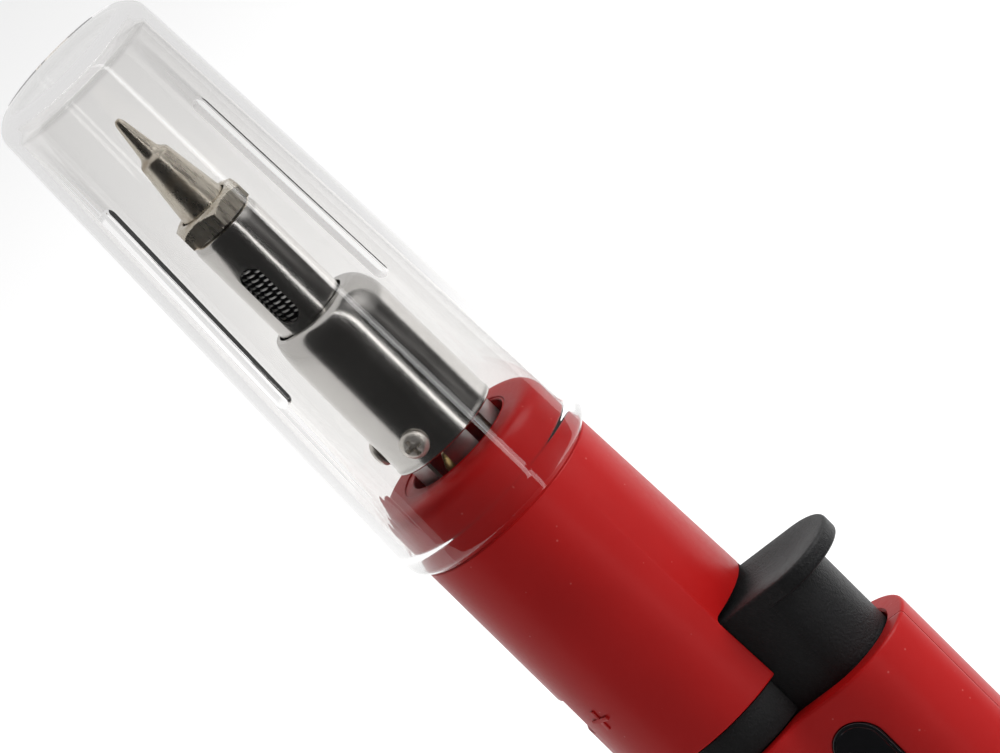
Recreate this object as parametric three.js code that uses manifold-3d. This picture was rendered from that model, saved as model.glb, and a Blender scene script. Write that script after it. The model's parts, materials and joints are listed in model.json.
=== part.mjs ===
// A pen-type butane torch with a soldering tip, standing on its tail, in millimetres.
// The tool axis is Z: the base face is at z = 0 and the tip points to +Z.
// The trigger and the hump that holds the igniter are on the +X side, the flow adjuster is on the -X side.

import * as THREE from 'three';
import { mergeVertices } from 'three/addons/utils/BufferGeometryUtils.js';
import Module from 'manifold-3d';

const wasm = await Module();
wasm.setup();

// ---------------------------------------------------------------- driving dimensions
const fit = 0.3;                  // gap between faces that touch or slide on each other
const wall = 1.8;                 // wall of the moulded shells

// lengths along the axis, from the tail up
const baseHeight = 12;
const rearShellLength = 107.2;
const bandWidth = 5.5;            // black chassis band left between the two shells
const frontShellLength = 36.2;    // rear edge to the shoulder where the cap stops
const noseLength = 8.7;           // shoulder to the nose face
const shieldGap = 2.3;            // nose face to the rim of the heat shield
const shieldLength = 21.9;
const barrelExposed = 15.1;
const nutHeight = 2.8;
const tipReach = 14.5;            // nut to the point
const tipClearance = 8.1;         // point to the inside of the cap's closed end

// cross-sections
const bodyRadius = 13;            // front shell at its shoulder
const flare = 0.7;                // growth of the front shell's radius to its rear edge
const lean = 0.7;                 // how far the section's centre drifts towards the trigger
const noseStep = 0.4;             // radial step under the cap's rim
const noseFillet = 4.6;
const tailRadius = 13;            // rear shell at its tail
const burnerX = -0.5;             // axis of the tip, the barrel and the gas line
const shieldX = 0.6;              // axis of the heat shield and the nose recess

// cap
const capEndRadius = 11.55;
const capWall = 1.3;
const capEndWall = 1.6;
const capRimHeight = 3;
const capRimThickness = 1.6;
const capEdge = 1.6;              // chamfered edge of the closed end
const ventLength = 32;
const ventWidth = 2.2;
// each vent's turn in degrees round from +X, and how far below the closed end it starts
const vents = [
  [-114, 14.9],
  [70, 15.9],
];

// burner
const shieldClearance = 0.95;     // shield to the barrel, where they are closest
const shieldFlare = 0.25;
const shieldWall = 0.5;
const shieldDome = 4.4;
const barrelRadius = 4.75;
const barrelWall = 0.6;
const barrelTail = 8;             // length of barrel hidden in the shield
const windowLength = 8.7;
const windowWidth = 3;
const windowFromTop = 5.2;
const neckRadius = 3.85;
const neckHeight = 1;
const coneRadius = 3.15;
const nutFlats = 9.2;
const mixingGap = 0.35;           // mixing tube inside the shield
const mixingWall = 0.6;
const airSlots = 6;
const airSlotWidth = 2.9;
const recessGap = 0.85;           // recess round the mixing tube
const recessDepth = 4.4;
const webThickness = 2.5;
const screwHeadRadius = 1.8;
const screwHeadHeight = 1;
const screwShankRadius = 1;
const screwAboveRim = 3;
const screwShankLength = 2.4;
const screwTurns = [-90, -172, 90];
const slotTurn = -62;             // first air slot's place, before half a pitch
const tipFlange = 0.5;            // flange that the nut clamps onto the neck
const tipShank = 3.6;             // tip's shank inside the barrel
const airPostRadius = 0.8;
const insulatorRadius = 0.8;
const electrodeRadius = 0.25;

// trigger and hump
const triggerHalfWidth = 7;
const triggerCentreX = 16.7;      // centre of the half-round boss
const triggerFinCentreX = 20.5;   // centre of the rounded end of the fin
const finThickness = 2.4;
const finAboveEdge = 9.1;         // fin's front face above the front shell's rear edge
const notchDepth = 10;
const notchCorner = 0.8;
const bossDepth = 8.6;            // boss centre to its flat floor
const rampWidth = 3;              // ramp inside the boss that turns the lever
const bossTail = 7.4;             // how far the boss reaches into the rear shell
const triggerTravel = 8;
const triggerWall = 1.8;
const archWall = 2.7;
const humpLength = 84;            // hump from the front edge back to where it has sunk into the body
const humpLevel = 36;             // part of that length where the hump keeps its height
const humpRootX = 2;

// chassis, lever and gas line
const chassisGap = 0.4;           // chassis inside the front shell
const chassisWall = 1.5;
const bandInset = 1.1;            // band below the shell's surface
const bulkhead = 3;
const chassisAboveEdge = 25;      // top of the chassis above the front shell's rear edge
const chassisBelowEdge = 49;
const leverBelowEdge = 28;
const leverArm = 6.2;             // pivot to the valve stem
const leverThickness = 1.6;
const leverRise = 8;
const leverTurn = 10;             // degrees at full travel
const leverHalfWidth = 2.6;
const followerX = 7;              // lever's round follower, on the trigger's side
const followerRadius = 0.8;
const pinRadius = 0.8;
const pinHole = 0.05;             // clearance round the pin
const pinHalfLength = 5.6;
const stemRadius = 1.2;
const stemLift = 1.4;
const stemRise = 9.4;             // stem's top above the lever
const gasTubeRadius = 1.6;
const gasBore = 0.8;
const regulatorNeck = 1.7;
const regulatorRadius = 3.8;
const valveRadius = 4.2;
const valveNeck = 3.6;
const valveTail = 8;              // valve body inside the tank
const adjusterAboveEdge = 9.4;
const adjusterHeight = 1.8;
const adjusterSlot = 2.6;
const scoopRadius = 2.4;
const scoopDepth = 0.9;
const adjusterTurn = 24;          // degrees each way
const adjusterTabWidth = 5;
const leadX = 5.35;               // igniter lead's place beside the trigger
const leadY = 6.2;
const leadRadius = 0.7;
const leadHole = 1.4;
const piezoWidth = 7.6;
const piezoDepth = 8;
const piezoBelowEdge = 17;
const piezoLength = 30;
const plungerRadius = 2.4;

// tank, base and refill valve
const tankGap = 0.6;              // tank inside the rear shell
const tankWall = 1.2;
const tankTopBelowEdge = 57;
const tankFloor = 22;
const refillX = 5.5;
const refillRadius = 2.9;
const refillSeat = 5;             // refill valve's mouth above the base face
const refillTravel = 1.5;
const spigotHeight = 3;
const postRadius = 2.5;
const shellScrewRadius = 1.2;
const shellScrewHead = 1.7;
const shellScrewSeat = 5;         // counterbore floor from the split
const counterbore = 2;
const refillNeck = 2.3;
const refillStemRadius = 0.9;

// badge
const badgeWidth = 7;
const badgeLength = 28;
const badgeThickness = 0.7;
const badgeFromEdge = 4;
const badgeBelowCentre = 1.8;
const badgeSeat = 0.75;           // depth of the badge's seat
const split = 0.15;               // half the gap between the two rear shells

// number of facets round a turned piece
const coarse = 20;
const medium = 26;
const fine = 36;

// ---------------------------------------------------------------- places that follow
const rearShellTail = baseHeight + fit;
const rearShellFront = baseHeight + rearShellLength + fit;
const frontShellRear = rearShellFront + bandWidth;
const shoulder = frontShellRear + frontShellLength;
const noseFace = shoulder + noseLength;
const shieldRim = noseFace + shieldGap;
const shieldTop = shieldRim + shieldLength;
const barrelTop = shieldTop + barrelExposed;
const nutBottom = barrelTop + fit;
const nutTop = nutBottom + nutHeight;
const tipPoint = nutTop + tipReach;
const capRim = shoulder + fit;
const capEnd = tipPoint + tipClearance + capEndWall;
const noseRadius = bodyRadius - noseStep;
const shieldRadius = barrelRadius + (shieldX - burnerX) + shieldClearance + shieldWall;
const mixingRadius = shieldRadius - shieldWall - mixingGap;
const recessRadius = mixingRadius + recessGap;
const tankRadius = tailRadius - wall - tankGap;
const rearRadius = bodyRadius + flare + fit;
const humpHalfWidth = triggerHalfWidth + fit + archWall;
const recessFloor = noseFace - recessDepth;
const webBottom = recessFloor - webThickness;
const chassisTop = frontShellRear + chassisAboveEdge;
const chassisBottom = frontShellRear - chassisBelowEdge;
// the chassis fits the front shell, and the rear shell at the chassis's lower end
const chassisShare = (chassisBottom - rearShellTail) / rearShellLength;
const rearRoom = THREE.MathUtils.lerp(tailRadius, rearRadius, chassisShare) - lean * chassisShare;
const chassisRadius = Math.min(bodyRadius, rearRoom) - wall - chassisGap;
const leverZ = frontShellRear - leverBelowEdge;
const electrodeX = burnerX + barrelRadius + fit + insulatorRadius;
const pivotX = burnerX - leverArm;
const tankTop = frontShellRear - tankTopBelowEdge;
const adjusterZ = frontShellRear + adjusterAboveEdge;
const piezoTop = frontShellRear - piezoBelowEdge;
const finFront = frontShellRear + finAboveEdge;
const finBack = finFront - finThickness;
const bossEnd = rearShellFront - bossTail;
const triggerFloorX = triggerCentreX - bossDepth;
const leverFollowerTop = leverZ + leverRise;
const stemTop = leverZ + stemRise;
const ceiling = finBack - 4;      // top of the boss's hollow

// ---------------------------------------------------------------- helpers
const degrees = THREE.MathUtils.degToRad;
const lerp = THREE.MathUtils.lerp;

// A closed three.js geometry as a manifold solid with its faces pointing out.
function solid(geometry) {
  geometry.deleteAttribute('normal');
  geometry.deleteAttribute('uv');
  const merged = mergeVertices(geometry, 1e-4);
  const at = merged.attributes.position;
  const point = [new THREE.Vector3(), new THREE.Vector3(), new THREE.Vector3()];
  const triangles = [];
  let volume = 0;
  for (let i = 0; i < merged.index.count; i += 3) {
    const corner = [0, 1, 2].map((k) => merged.index.getX(i + k));
    if (new Set(corner).size < 3) continue;
    corner.forEach((index, k) => point[k].fromBufferAttribute(at, index));
    volume += point[0].dot(point[1].clone().cross(point[2]));
    triangles.push(corner);
  }
  if (volume < 0) triangles.forEach((corner) => corner.reverse());
  return new wasm.Manifold(new wasm.Mesh({
    numProp: 3,
    vertProperties: at.array,
    triVerts: new Uint32Array(triangles.flat()),
  }));
}

// A closed profile of [radius, z] points as a geometry turned round the axis at x.
function turnedShape(profile, facets = fine, x = 0) {
  const points = profile.map(([radius, z]) => new THREE.Vector2(radius, z));
  if (profile[0][0] > 0 || profile.at(-1)[0] > 0) points.push(points[0].clone());
  return new THREE.LatheGeometry(points, facets).rotateX(Math.PI / 2).translate(x, 0, 0);
}

const turned = (profile, facets, x) => solid(turnedShape(profile, facets, x));

// A plain rod along Z between two heights.
function rod(radius, low, high, x = 0, y = 0, facets = coarse) {
  const geometry = new THREE.CylinderGeometry(radius, radius, high - low, facets);
  return solid(geometry.rotateX(Math.PI / 2).translate(x, y, (low + high) / 2));
}

// A plain rod along Y between two places.
function crossRod(radius, low, high, x, z, facets = coarse) {
  const geometry = new THREE.CylinderGeometry(radius, radius, high - low, facets);
  return solid(geometry.translate(x, (low + high) / 2, z));
}

const tube = (outer, inner, low, high, x = 0, facets = coarse) =>
  turned([[inner, low], [outer, low], [outer, high], [inner, high]], facets, x);

// A box given by its low and high corners.
function block([x0, y0, z0], [x1, y1, z1]) {
  const geometry = new THREE.BoxGeometry(x1 - x0, y1 - y0, z1 - z0);
  return solid(geometry.translate((x0 + x1) / 2, (y0 + y1) / 2, (z0 + z1) / 2));
}

// An outline in (across, up) pushed outwards from the axis at a turn round Z.
function radialPrism(shape, from, to, turn, z, x = 0) {
  const angle = degrees(turn);
  const outward = new THREE.Vector3(Math.cos(angle), Math.sin(angle), 0);
  const across = new THREE.Vector3(-Math.sin(angle), Math.cos(angle), 0);
  const up = new THREE.Vector3(0, 0, 1);
  const options = { depth: to - from, bevelEnabled: false, curveSegments: 4 };
  const geometry = new THREE.ExtrudeGeometry(shape, options);
  geometry.applyMatrix4(new THREE.Matrix4().makeBasis(across, up, outward));
  return solid(geometry.translate(x + outward.x * from, outward.y * from, z));
}

// A solid turned round Z and then moved along X.
const turnedAbout = (shape, turn, x) => shape.rotate([0, 0, turn]).translate([x, 0, 0]);

// A slot outline with round ends, long side up, centred on the origin.
function pill(width, length) {
  const shape = new THREE.Shape();
  const straight = (length - width) / 2;
  shape.absarc(0, straight, width / 2, 0, Math.PI, false);
  shape.absarc(0, -straight, width / 2, Math.PI, 2 * Math.PI, false);
  return shape;
}

// A rectangle with round corners, centred on the origin.
function roundedRectangle(width, height, radius) {
  const [x, y] = [width / 2 - radius, height / 2 - radius];
  const shape = new THREE.Shape();
  shape.absarc(x, y, radius, 0, Math.PI / 2, false);
  shape.absarc(-x, y, radius, Math.PI / 2, Math.PI, false);
  shape.absarc(-x, -y, radius, Math.PI, 1.5 * Math.PI, false);
  shape.absarc(x, -y, radius, 1.5 * Math.PI, 2 * Math.PI, false);
  return shape;
}

// A tongue outline in (x, y): straight from its root and round at its end.
function tongue(rootX, centreX, halfWidth) {
  const shape = new THREE.Shape();
  shape.moveTo(rootX, halfWidth);
  shape.lineTo(rootX, -halfWidth);
  shape.absarc(centreX, 0, halfWidth, -Math.PI / 2, Math.PI / 2, false);
  return shape;
}

// An outline in (x, y) raised from one height to another.
function raised(shape, low, high) {
  const options = { depth: high - low, bevelEnabled: false, curveSegments: 10 };
  const geometry = new THREE.ExtrudeGeometry(shape, options);
  return solid(geometry.translate(0, 0, low));
}

// A coil spring round the axis at x, with its wire kept inside the two heights.
function spring(radius, wireRadius, low, high, turns, x) {
  const stepsPerTurn = 10;
  const count = turns * stepsPerTurn;
  const points = [];
  for (let i = 0; i <= count; i += 1) {
    const angle = (2 * Math.PI * i) / stepsPerTurn;
    const z = lerp(low + wireRadius, high - wireRadius, i / count);
    points.push(new THREE.Vector3(x + radius * Math.cos(angle), radius * Math.sin(angle), z));
  }
  return wire(points, wireRadius, count, 5);
}

// A round wire or cable through the given points.
function wire(points, radius, steps, sides) {
  const section = new THREE.Shape();
  for (let i = 0; i < sides; i += 1) {
    const angle = (2 * Math.PI * i) / sides;
    const corner = [radius * Math.cos(angle), radius * Math.sin(angle)];
    if (i === 0) section.moveTo(...corner);
    else section.lineTo(...corner);
  }
  section.closePath();
  const extrudePath = new THREE.CatmullRomCurve3(points);
  return solid(new THREE.ExtrudeGeometry(section, { steps, extrudePath, bevelEnabled: false }));
}

const group = new THREE.Group();

// A solid's surface as a three.js geometry.
function surface(shape) {
  const { vertProperties, triVerts } = shape.getMesh();
  const geometry = new THREE.BufferGeometry();
  geometry.setAttribute('position', new THREE.BufferAttribute(vertProperties, 3));
  geometry.setIndex(new THREE.BufferAttribute(triVerts, 1));
  return geometry;
}

function add(name, shape, finish) {
  const geometry = surface(shape);
  geometry.computeVertexNormals();
  const mesh = new THREE.Mesh(geometry, new THREE.MeshStandardMaterial(finish));
  mesh.name = name;
  group.add(mesh);
}

// ---------------------------------------------------------------- finishes
const redPlastic = { color: 0xb3221f, roughness: 0.5, metalness: 0 };
const blackPlastic = { color: 0x1b1b1c, roughness: 0.6, metalness: 0 };
const glossBlack = { color: 0x0d0d0e, roughness: 0.12, metalness: 0 };
const clearPlastic = { color: 0xf4f4f4, roughness: 0.05, metalness: 0, transparent: true, opacity: 0.3 };
const polishedSteel = { color: 0x8e8c8a, roughness: 0.15, metalness: 1 };
const steel = { color: 0x9a9a98, roughness: 0.35, metalness: 1 };
const nickel = { color: 0xb9b2a3, roughness: 0.28, metalness: 1 };
const brass = { color: 0xb08d4a, roughness: 0.3, metalness: 1 };
const ceramic = { color: 0xece8de, roughness: 0.4, metalness: 0 };
const rubber = { color: 0x202020, roughness: 0.8, metalness: 0 };
const paleNylon = { color: 0xd8d4c8, roughness: 0.5, metalness: 0 };

// ---------------------------------------------------------------- cap
function cap() {
  const mouth = noseRadius + fit;
  const rimRadius = mouth + capRimThickness;
  const rimTop = capRim + capRimHeight;
  const edge = capEdge;
  const outline = [[0, capEnd], [capEndRadius - edge, capEnd]];
  outline.push([capEndRadius - 0.3 * edge, capEnd - 0.3 * edge], [capEndRadius, capEnd - edge]);
  outline.push([rimRadius, rimTop], [rimRadius - 0.15, capRim + 1.6]);
  outline.push([rimRadius - 0.55, capRim + 0.5], [rimRadius - 1.1, capRim], [mouth, capRim]);
  outline.push([mouth, rimTop], [rimRadius - capWall, rimTop + 0.6]);
  outline.push([capEndRadius - capWall, capEnd - capEndWall - 0.9]);
  outline.push([capEndRadius - capWall - 0.9, capEnd - capEndWall], [0, capEnd - capEndWall]);
  let shape = turned(outline, fine);
  for (const [turn, fromEnd] of vents) {
    const middle = capEnd - fromEnd - ventLength / 2;
    shape = shape.subtract(radialPrism(pill(ventWidth, ventLength), 6, bodyRadius + 4, turn, middle));
  }
  add('cap', shape, clearPlastic);
}

// ---------------------------------------------------------------- burner
function solderingTip() {
  const flangeLow = barrelTop + neckHeight + fit;
  const flangeHigh = flangeLow + tipFlange;
  const shankLow = nutBottom - tipShank;
  const pointLength = 5.7;
  const flareAt = tipPoint - pointLength;
  const outline = [[0, shankLow], [2.3, shankLow], [2.6, shankLow + 0.4], [2.6, flangeLow]];
  outline.push([neckRadius - 0.05, flangeLow], [neckRadius - 0.05, flangeHigh], [coneRadius, flangeHigh]);
  outline.push([coneRadius, nutTop], [2.15, flareAt - 1.1], [1.95, flareAt - 0.5], [1.3, flareAt]);
  outline.push([0.62, tipPoint - 0.35], [0.35, tipPoint], [0, tipPoint]);
  add('soldering_tip', turned(outline, medium, burnerX), nickel);
}

function tipNut() {
  const corner = nutFlats / 2 / Math.cos(Math.PI / 6);
  const hexagon = new THREE.CylinderGeometry(corner, corner, nutHeight, 6).rotateX(Math.PI / 2);
  hexagon.rotateZ(degrees(30)).translate(burnerX, 0, (nutBottom + nutTop) / 2);
  const chamfer = [[0, nutBottom - 1], [corner + 1, nutBottom - 1], [corner + 1, nutTop - 1.35]];
  chamfer.push([corner - 0.9, nutTop], [corner - 0.9, nutTop + 1], [0, nutTop + 1]);
  const lipBottom = barrelTop + neckHeight + 2 * fit + tipFlange;
  const shape = solid(hexagon)
    .intersect(turned(chamfer, medium, burnerX))
    .subtract(rod(coneRadius + 0.25, nutBottom - 1, nutTop + 1, burnerX, 0, medium))
    .subtract(rod(neckRadius + 0.25, nutBottom - 1, lipBottom, burnerX, 0, medium));
  add('tip_nut', shape, nickel);
}

function barrel() {
  const low = shieldTop - barrelTail;
  const inner = barrelRadius - barrelWall;
  const neckInner = 2.95;
  const outline = [[inner, low], [barrelRadius, low], [barrelRadius, barrelTop - 1.1]];
  outline.push([barrelRadius - 0.3, barrelTop - 0.3], [barrelRadius - 0.8, barrelTop]);
  outline.push([neckRadius, barrelTop]);
  outline.push([neckRadius, barrelTop + neckHeight], [neckInner, barrelTop + neckHeight]);
  outline.push([neckInner, barrelTop - 0.8], [inner, barrelTop - 1.6]);
  const middle = barrelTop - windowFromTop - windowLength / 2;
  const opening = radialPrism(pill(windowWidth, windowLength), 2, barrelRadius + 2, -90, middle, burnerX);
  add('barrel_tube', turned(outline, medium, burnerX).subtract(opening), polishedSteel);
}

function catalyst() {
  const low = shieldTop - 1.5;
  add('catalyst_gauze', tube(barrelRadius - barrelWall - 0.7, 1.6, low, nutBottom - 4, burnerX), steel);
}

// The shield's outline with its wall pulled in by `inset`: round at the rim, and leaning onto the
// barrel's axis as it domes in.
function shieldBody(inset, low, high, steps) {
  const collar = barrelRadius + fit + shieldWall;
  const domeFoot = shieldTop - shieldDome;
  const outline = [[0, low], [shieldRadius + shieldFlare - inset, low], [shieldRadius - inset, domeFoot]];
  const centre = (z) => {
    const share = THREE.MathUtils.clamp((z - domeFoot) / shieldDome, 0, 1);
    return lerp(burnerX, shieldX, Math.sqrt(1 - share * share));
  };
  for (let i = 1; i <= steps; i += 1) {
    const angle = (Math.PI / 2) * (i / steps);
    const radius = lerp(collar, shieldRadius, Math.cos(angle)) - inset;
    outline.push([radius, domeFoot + (high - domeFoot) * Math.sin(angle)]);
  }
  outline.push([0, high]);
  const geometry = turnedShape(outline, medium);
  const at = geometry.attributes.position;
  for (let i = 0; i < at.count; i += 1) at.setX(i, at.getX(i) + centre(at.getZ(i)));
  return solid(geometry);
}

function heatShield() {
  const hollow = shieldBody(shieldWall, shieldRim - 1, shieldTop - shieldWall, 4);
  let shape = shieldBody(0, shieldRim, shieldTop, 6).subtract(hollow);
  shape = shape.subtract(rod(barrelRadius + fit, shieldTop - 2, shieldTop + 1, burnerX, 0, medium));
  shape = shape.subtract(screwHoles());
  add('heat_shield', shape, polishedSteel);
}

// Clearance holes for the screws that hold the shield.
function screwHoles() {
  const hole = new THREE.Shape().absarc(0, 0, screwShankRadius + fit, 0, 2 * Math.PI, false);
  const height = shieldRim + screwAboveRim;
  const drills = screwTurns.map((turn) => radialPrism(hole, 4, 10, turn, height, shieldX));
  return drills.reduce((all, drill) => all.add(drill));
}

function shieldScrews() {
  const seat = shieldRadius + shieldFlare + 0.1;
  screwTurns.forEach((turn, i) => {
    const top = screwHeadHeight;
    const outline = [[0, -screwShankLength], [screwShankRadius, -screwShankLength]];
    outline.push([screwShankRadius, 0], [screwHeadRadius, 0]);
    outline.push([screwHeadRadius, top * 0.45], [screwHeadRadius * 0.72, top * 0.9], [0, top]);
    const blank = turned(outline, 16);
    const arm = [screwHeadRadius * 0.62, screwHeadRadius * 0.16];
    const cross = block([-arm[0], -arm[1], top * 0.4], [arm[0], arm[1], top + 1])
      .add(block([-arm[1], -arm[0], top * 0.4], [arm[1], arm[0], top + 1]));
    const geometry = surface(blank.subtract(cross));
    geometry.rotateY(Math.PI / 2).translate(seat, 0, 0).rotateZ(degrees(turn));
    geometry.translate(shieldX, 0, shieldRim + screwAboveRim);
    add(`shield_screw_${i + 1}`, solid(geometry), steel);
  });
}

function mixingTube() {
  const low = recessFloor + fit;
  const high = shieldTop - barrelTail - 1.7;
  let shape = tube(mixingRadius, mixingRadius - mixingWall, low, high, shieldX, medium);
  for (let i = 0; i < airSlots; i += 1) {
    const turn = (360 * (i + 0.5)) / airSlots + slotTurn;
    const cut = block([4, -airSlotWidth / 2, low - 1], [9, airSlotWidth / 2, shieldRim + 0.6]);
    shape = shape.subtract(turnedAbout(cut, turn, shieldX));
  }
  add('mixing_tube', shape.subtract(screwHoles()), steel);
}

function burnerPlate() {
  const high = shieldTop - barrelTail - fit;
  const shape = rod(mixingRadius - 0.15, high - 1.1, high, shieldX, 0, medium)
    .subtract(rod(2.2, high - 2, high + 1, burnerX))
    .subtract(rod(insulatorRadius + 0.2, high - 2, high + 1, electrodeX, 0, 16));
  add('burner_plate', shape, brass);
}

function igniter() {
  const low = webBottom - 2.5;
  const high = shieldTop - 5.2;
  add('igniter_insulator', tube(insulatorRadius, electrodeRadius + 0.2, low, high, electrodeX, 16), ceramic);
  add('igniter_electrode', rod(electrodeRadius, low, high + 2, electrodeX, 0, 10), steel);
}

function igniterLead() {
  const low = piezoTop - piezoLength - 2 * fit;
  const points = [[12, 0, low], [11.5, 1, low - 2.4], [9, 4, low - 3.2], [6, leadY, low - 1]];
  points.push([leadX, leadY, low + 6], [leadX, leadY, leverZ], [leadX, leadY, frontShellRear]);
  points.push([leadX, leadY, chassisTop - 4], [leadX, leadY, chassisTop + 1]);
  points.push([electrodeX, leadY / 2, (chassisTop + webBottom) / 2], [electrodeX, 0, webBottom - 3.3]);
  const route = points.map((at) => new THREE.Vector3(...at));
  add('igniter_lead', wire(route, leadRadius, 40, 6), rubber);
}

// ---------------------------------------------------------------- gas line
function gasLine() {
  const holderLow = chassisTop + fit;
  const holderTop = recessFloor + 1.5;
  const holder = [[gasBore, holderLow], [4, holderLow], [4, holderLow + 1.6], [2.8, holderLow + 1.6]];
  holder.push([2.8, holderTop], [gasBore, holderTop]);
  add('jet_holder', turned(holder, coarse, burnerX), brass);

  const jetLow = holderTop + fit;
  const jet = [[0.3, jetLow], [2.2, jetLow], [2.2, jetLow + 1.2], [1.3, jetLow + 3], [0.3, jetLow + 3]];
  add('gas_jet', turned(jet, coarse, burnerX), brass);

  const regulatorLow = adjusterZ - 7.5;
  const regulatorTop = chassisTop - fit;
  const collarTop = adjusterZ + adjusterHeight / 2 + 3;
  const collar = regulatorRadius;
  const regulator = [[gasBore, regulatorLow], [collar, regulatorLow], [collar, collarTop]];
  regulator.push([regulatorNeck, collarTop], [regulatorNeck, regulatorTop], [gasBore, regulatorTop]);
  add('flow_regulator', turned(regulator, coarse, burnerX), brass);

  const low = stemTop + fit;
  add('gas_tube', tube(gasTubeRadius, gasBore, low, regulatorLow - fit, burnerX, 16), paleNylon);
}

function valve() {
  const bodyTop = leverZ - 6;
  const bodyLow = tankTop - valveTail;
  const inner = stemRadius + 0.3;
  const body = [[inner, bodyLow], [valveNeck, bodyLow], [valveNeck, tankTop + 4.2]];
  body.push([valveRadius, tankTop + 4.2], [valveRadius, bodyTop - 4], [2.6, bodyTop], [inner, bodyTop]);
  add('valve_body', turned(body, coarse, burnerX), brass);

  const flange = leverZ + leverThickness / 2 + 0.4;
  const stem = [[0, bodyLow + 3], [stemRadius, bodyLow + 3], [stemRadius, flange], [2.4, flange]];
  stem.push([2.4, flange + 0.9], [stemRadius, flange + 0.9], [stemRadius, stemTop - 1]);
  stem.push([0.9, stemTop], [0, stemTop]);
  add('valve_stem', turned(stem, coarse, burnerX), brass);

  const seat = leverZ + 5;
  add('valve_spring', spring(1.95, 0.3, flange + 0.9 + 0.1, seat - 0.1, 3, burnerX), steel);
}

function valveLever() {
  const half = leverThickness / 2;
  const wide = leverHalfWidth;
  const neck = followerX - 1.3;
  const eye = pinRadius + 0.9;
  const shape = block([pivotX, -wide, leverZ - half], [followerX - 0.2, wide, leverZ + half])
    .add(block([neck, -1.4, leverZ - half], [followerX + 0.2, 1.4, leverFollowerTop]))
    .add(crossRod(followerRadius, -1.4, 1.4, followerX, leverFollowerTop, 12))
    .add(crossRod(eye, -wide, wide, pivotX, leverZ, 16))
    .subtract(rod(stemRadius + 0.5, leverZ - 3, leverZ + 3, burnerX, 0, 16))
    .subtract(crossRod(pinRadius + pinHole, -4, 4, pivotX, leverZ, 16));
  add('valve_lever', shape, steel);
  add('lever_pin', crossRod(pinRadius, -pinHalfLength, pinHalfLength, pivotX, leverZ, 16), steel);
}

// ---------------------------------------------------------------- front shell
// The front shell's outside, pulled in by `inset`: turned, its centre drifting towards the trigger.
function frontBody(inset, low, high, steps) {
  const radiusAt = (z) => lerp(bodyRadius + flare, bodyRadius, (z - frontShellRear) / frontShellLength);
  const drift = (z) => lean * THREE.MathUtils.clamp((shoulder - z) / frontShellLength, 0, 1.1);
  const outline = [[0, low], [radiusAt(low) - inset, low], [radiusAt(shoulder) - inset, shoulder]];
  outline.push([noseRadius - inset, shoulder]);
  const fillet = Math.min(noseFillet, noseRadius - 6) - inset;
  for (let i = 0; i <= steps; i += 1) {
    const angle = (Math.PI / 2) * (i / steps);
    const radius = noseRadius - inset - fillet * (1 - Math.cos(angle));
    outline.push([radius, high - fillet * (1 - Math.sin(angle))]);
  }
  outline.push([0, high]);
  const geometry = turnedShape(outline, fine);
  const at = geometry.attributes.position;
  for (let i = 0; i < at.count; i += 1) at.setX(i, at.getX(i) + drift(at.getZ(i)));
  return solid(geometry);
}

function adjusterSector(low, high, halfAngle, inner, outer) {
  const shape = new THREE.Shape();
  const [from, to] = [Math.PI - degrees(halfAngle), Math.PI + degrees(halfAngle)];
  shape.absarc(0, 0, outer, from, to, false);
  shape.absarc(0, 0, inner, to, from, true);
  return raised(shape, low, high);
}

function frontShell() {
  const hollow = frontBody(wall, frontShellRear - 1, webBottom, 2);
  let shape = frontBody(0, frontShellRear, noseFace, 5).subtract(hollow);
  shape = shape.subtract(rod(recessRadius, recessFloor, noseFace + 1, shieldX, 0, medium));
  shape = shape.subtract(rod(2.8 + fit, webBottom - 1, recessFloor + 1, burnerX));
  shape = shape.subtract(rod(insulatorRadius + 0.2, webBottom - 1, recessFloor + 1, electrodeX, 0, 16));
  const notch = roundedRectangle(2 * (triggerHalfWidth + fit), 2 * notchDepth, notchCorner);
  shape = shape.subtract(radialPrism(notch, 4, 30, 0, frontShellRear));
  const tabAngle = THREE.MathUtils.radToDeg(Math.asin(adjusterTabWidth / 2 / (bodyRadius - 2)));
  const low = adjusterZ - adjusterSlot / 2;
  const halfAngle = adjusterTurn + tabAngle + 5;
  shape = shape.subtract(adjusterSector(low, low + adjusterSlot, halfAngle, 5, 20));
  // a scoop for the thumb over the slot
  const scoop = [];
  for (let i = 0; i < 10; i += 1) {
    const angle = (2 * Math.PI * i) / 10;
    const ring = bodyRadius + scoopRadius - scoopDepth;
    const height = low + adjusterSlot + scoopRadius / 2 + scoopRadius * Math.sin(angle);
    scoop.push([ring + scoopRadius * Math.cos(angle), height]);
  }
  const sector = adjusterSector(low - 5, low + 9, halfAngle, 5, 20);
  shape = shape.subtract(turned(scoop, fine).intersect(sector));
  // short red posts that stand in the recess between the air slots
  for (let i = 0; i < airSlots; i += 2) {
    const angle = degrees((360 * (i + 0.5)) / airSlots + slotTurn);
    const radius = mixingRadius - mixingWall - 1.2;
    const [x, y] = [shieldX + radius * Math.cos(angle), radius * Math.sin(angle)];
    const nearElectrode = Math.hypot(x - electrodeX, y) < insulatorRadius + 2 * airPostRadius;
    const nearJet = Math.hypot(x - burnerX, y) < 2.8 + 2 * airPostRadius;
    if (nearElectrode || nearJet) continue;
    shape = shape.add(rod(airPostRadius, recessFloor - 0.5, shieldRim - 2 * fit, x, y, 12));
  }
  add('front_shell', shape, redPlastic);
}

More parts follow.
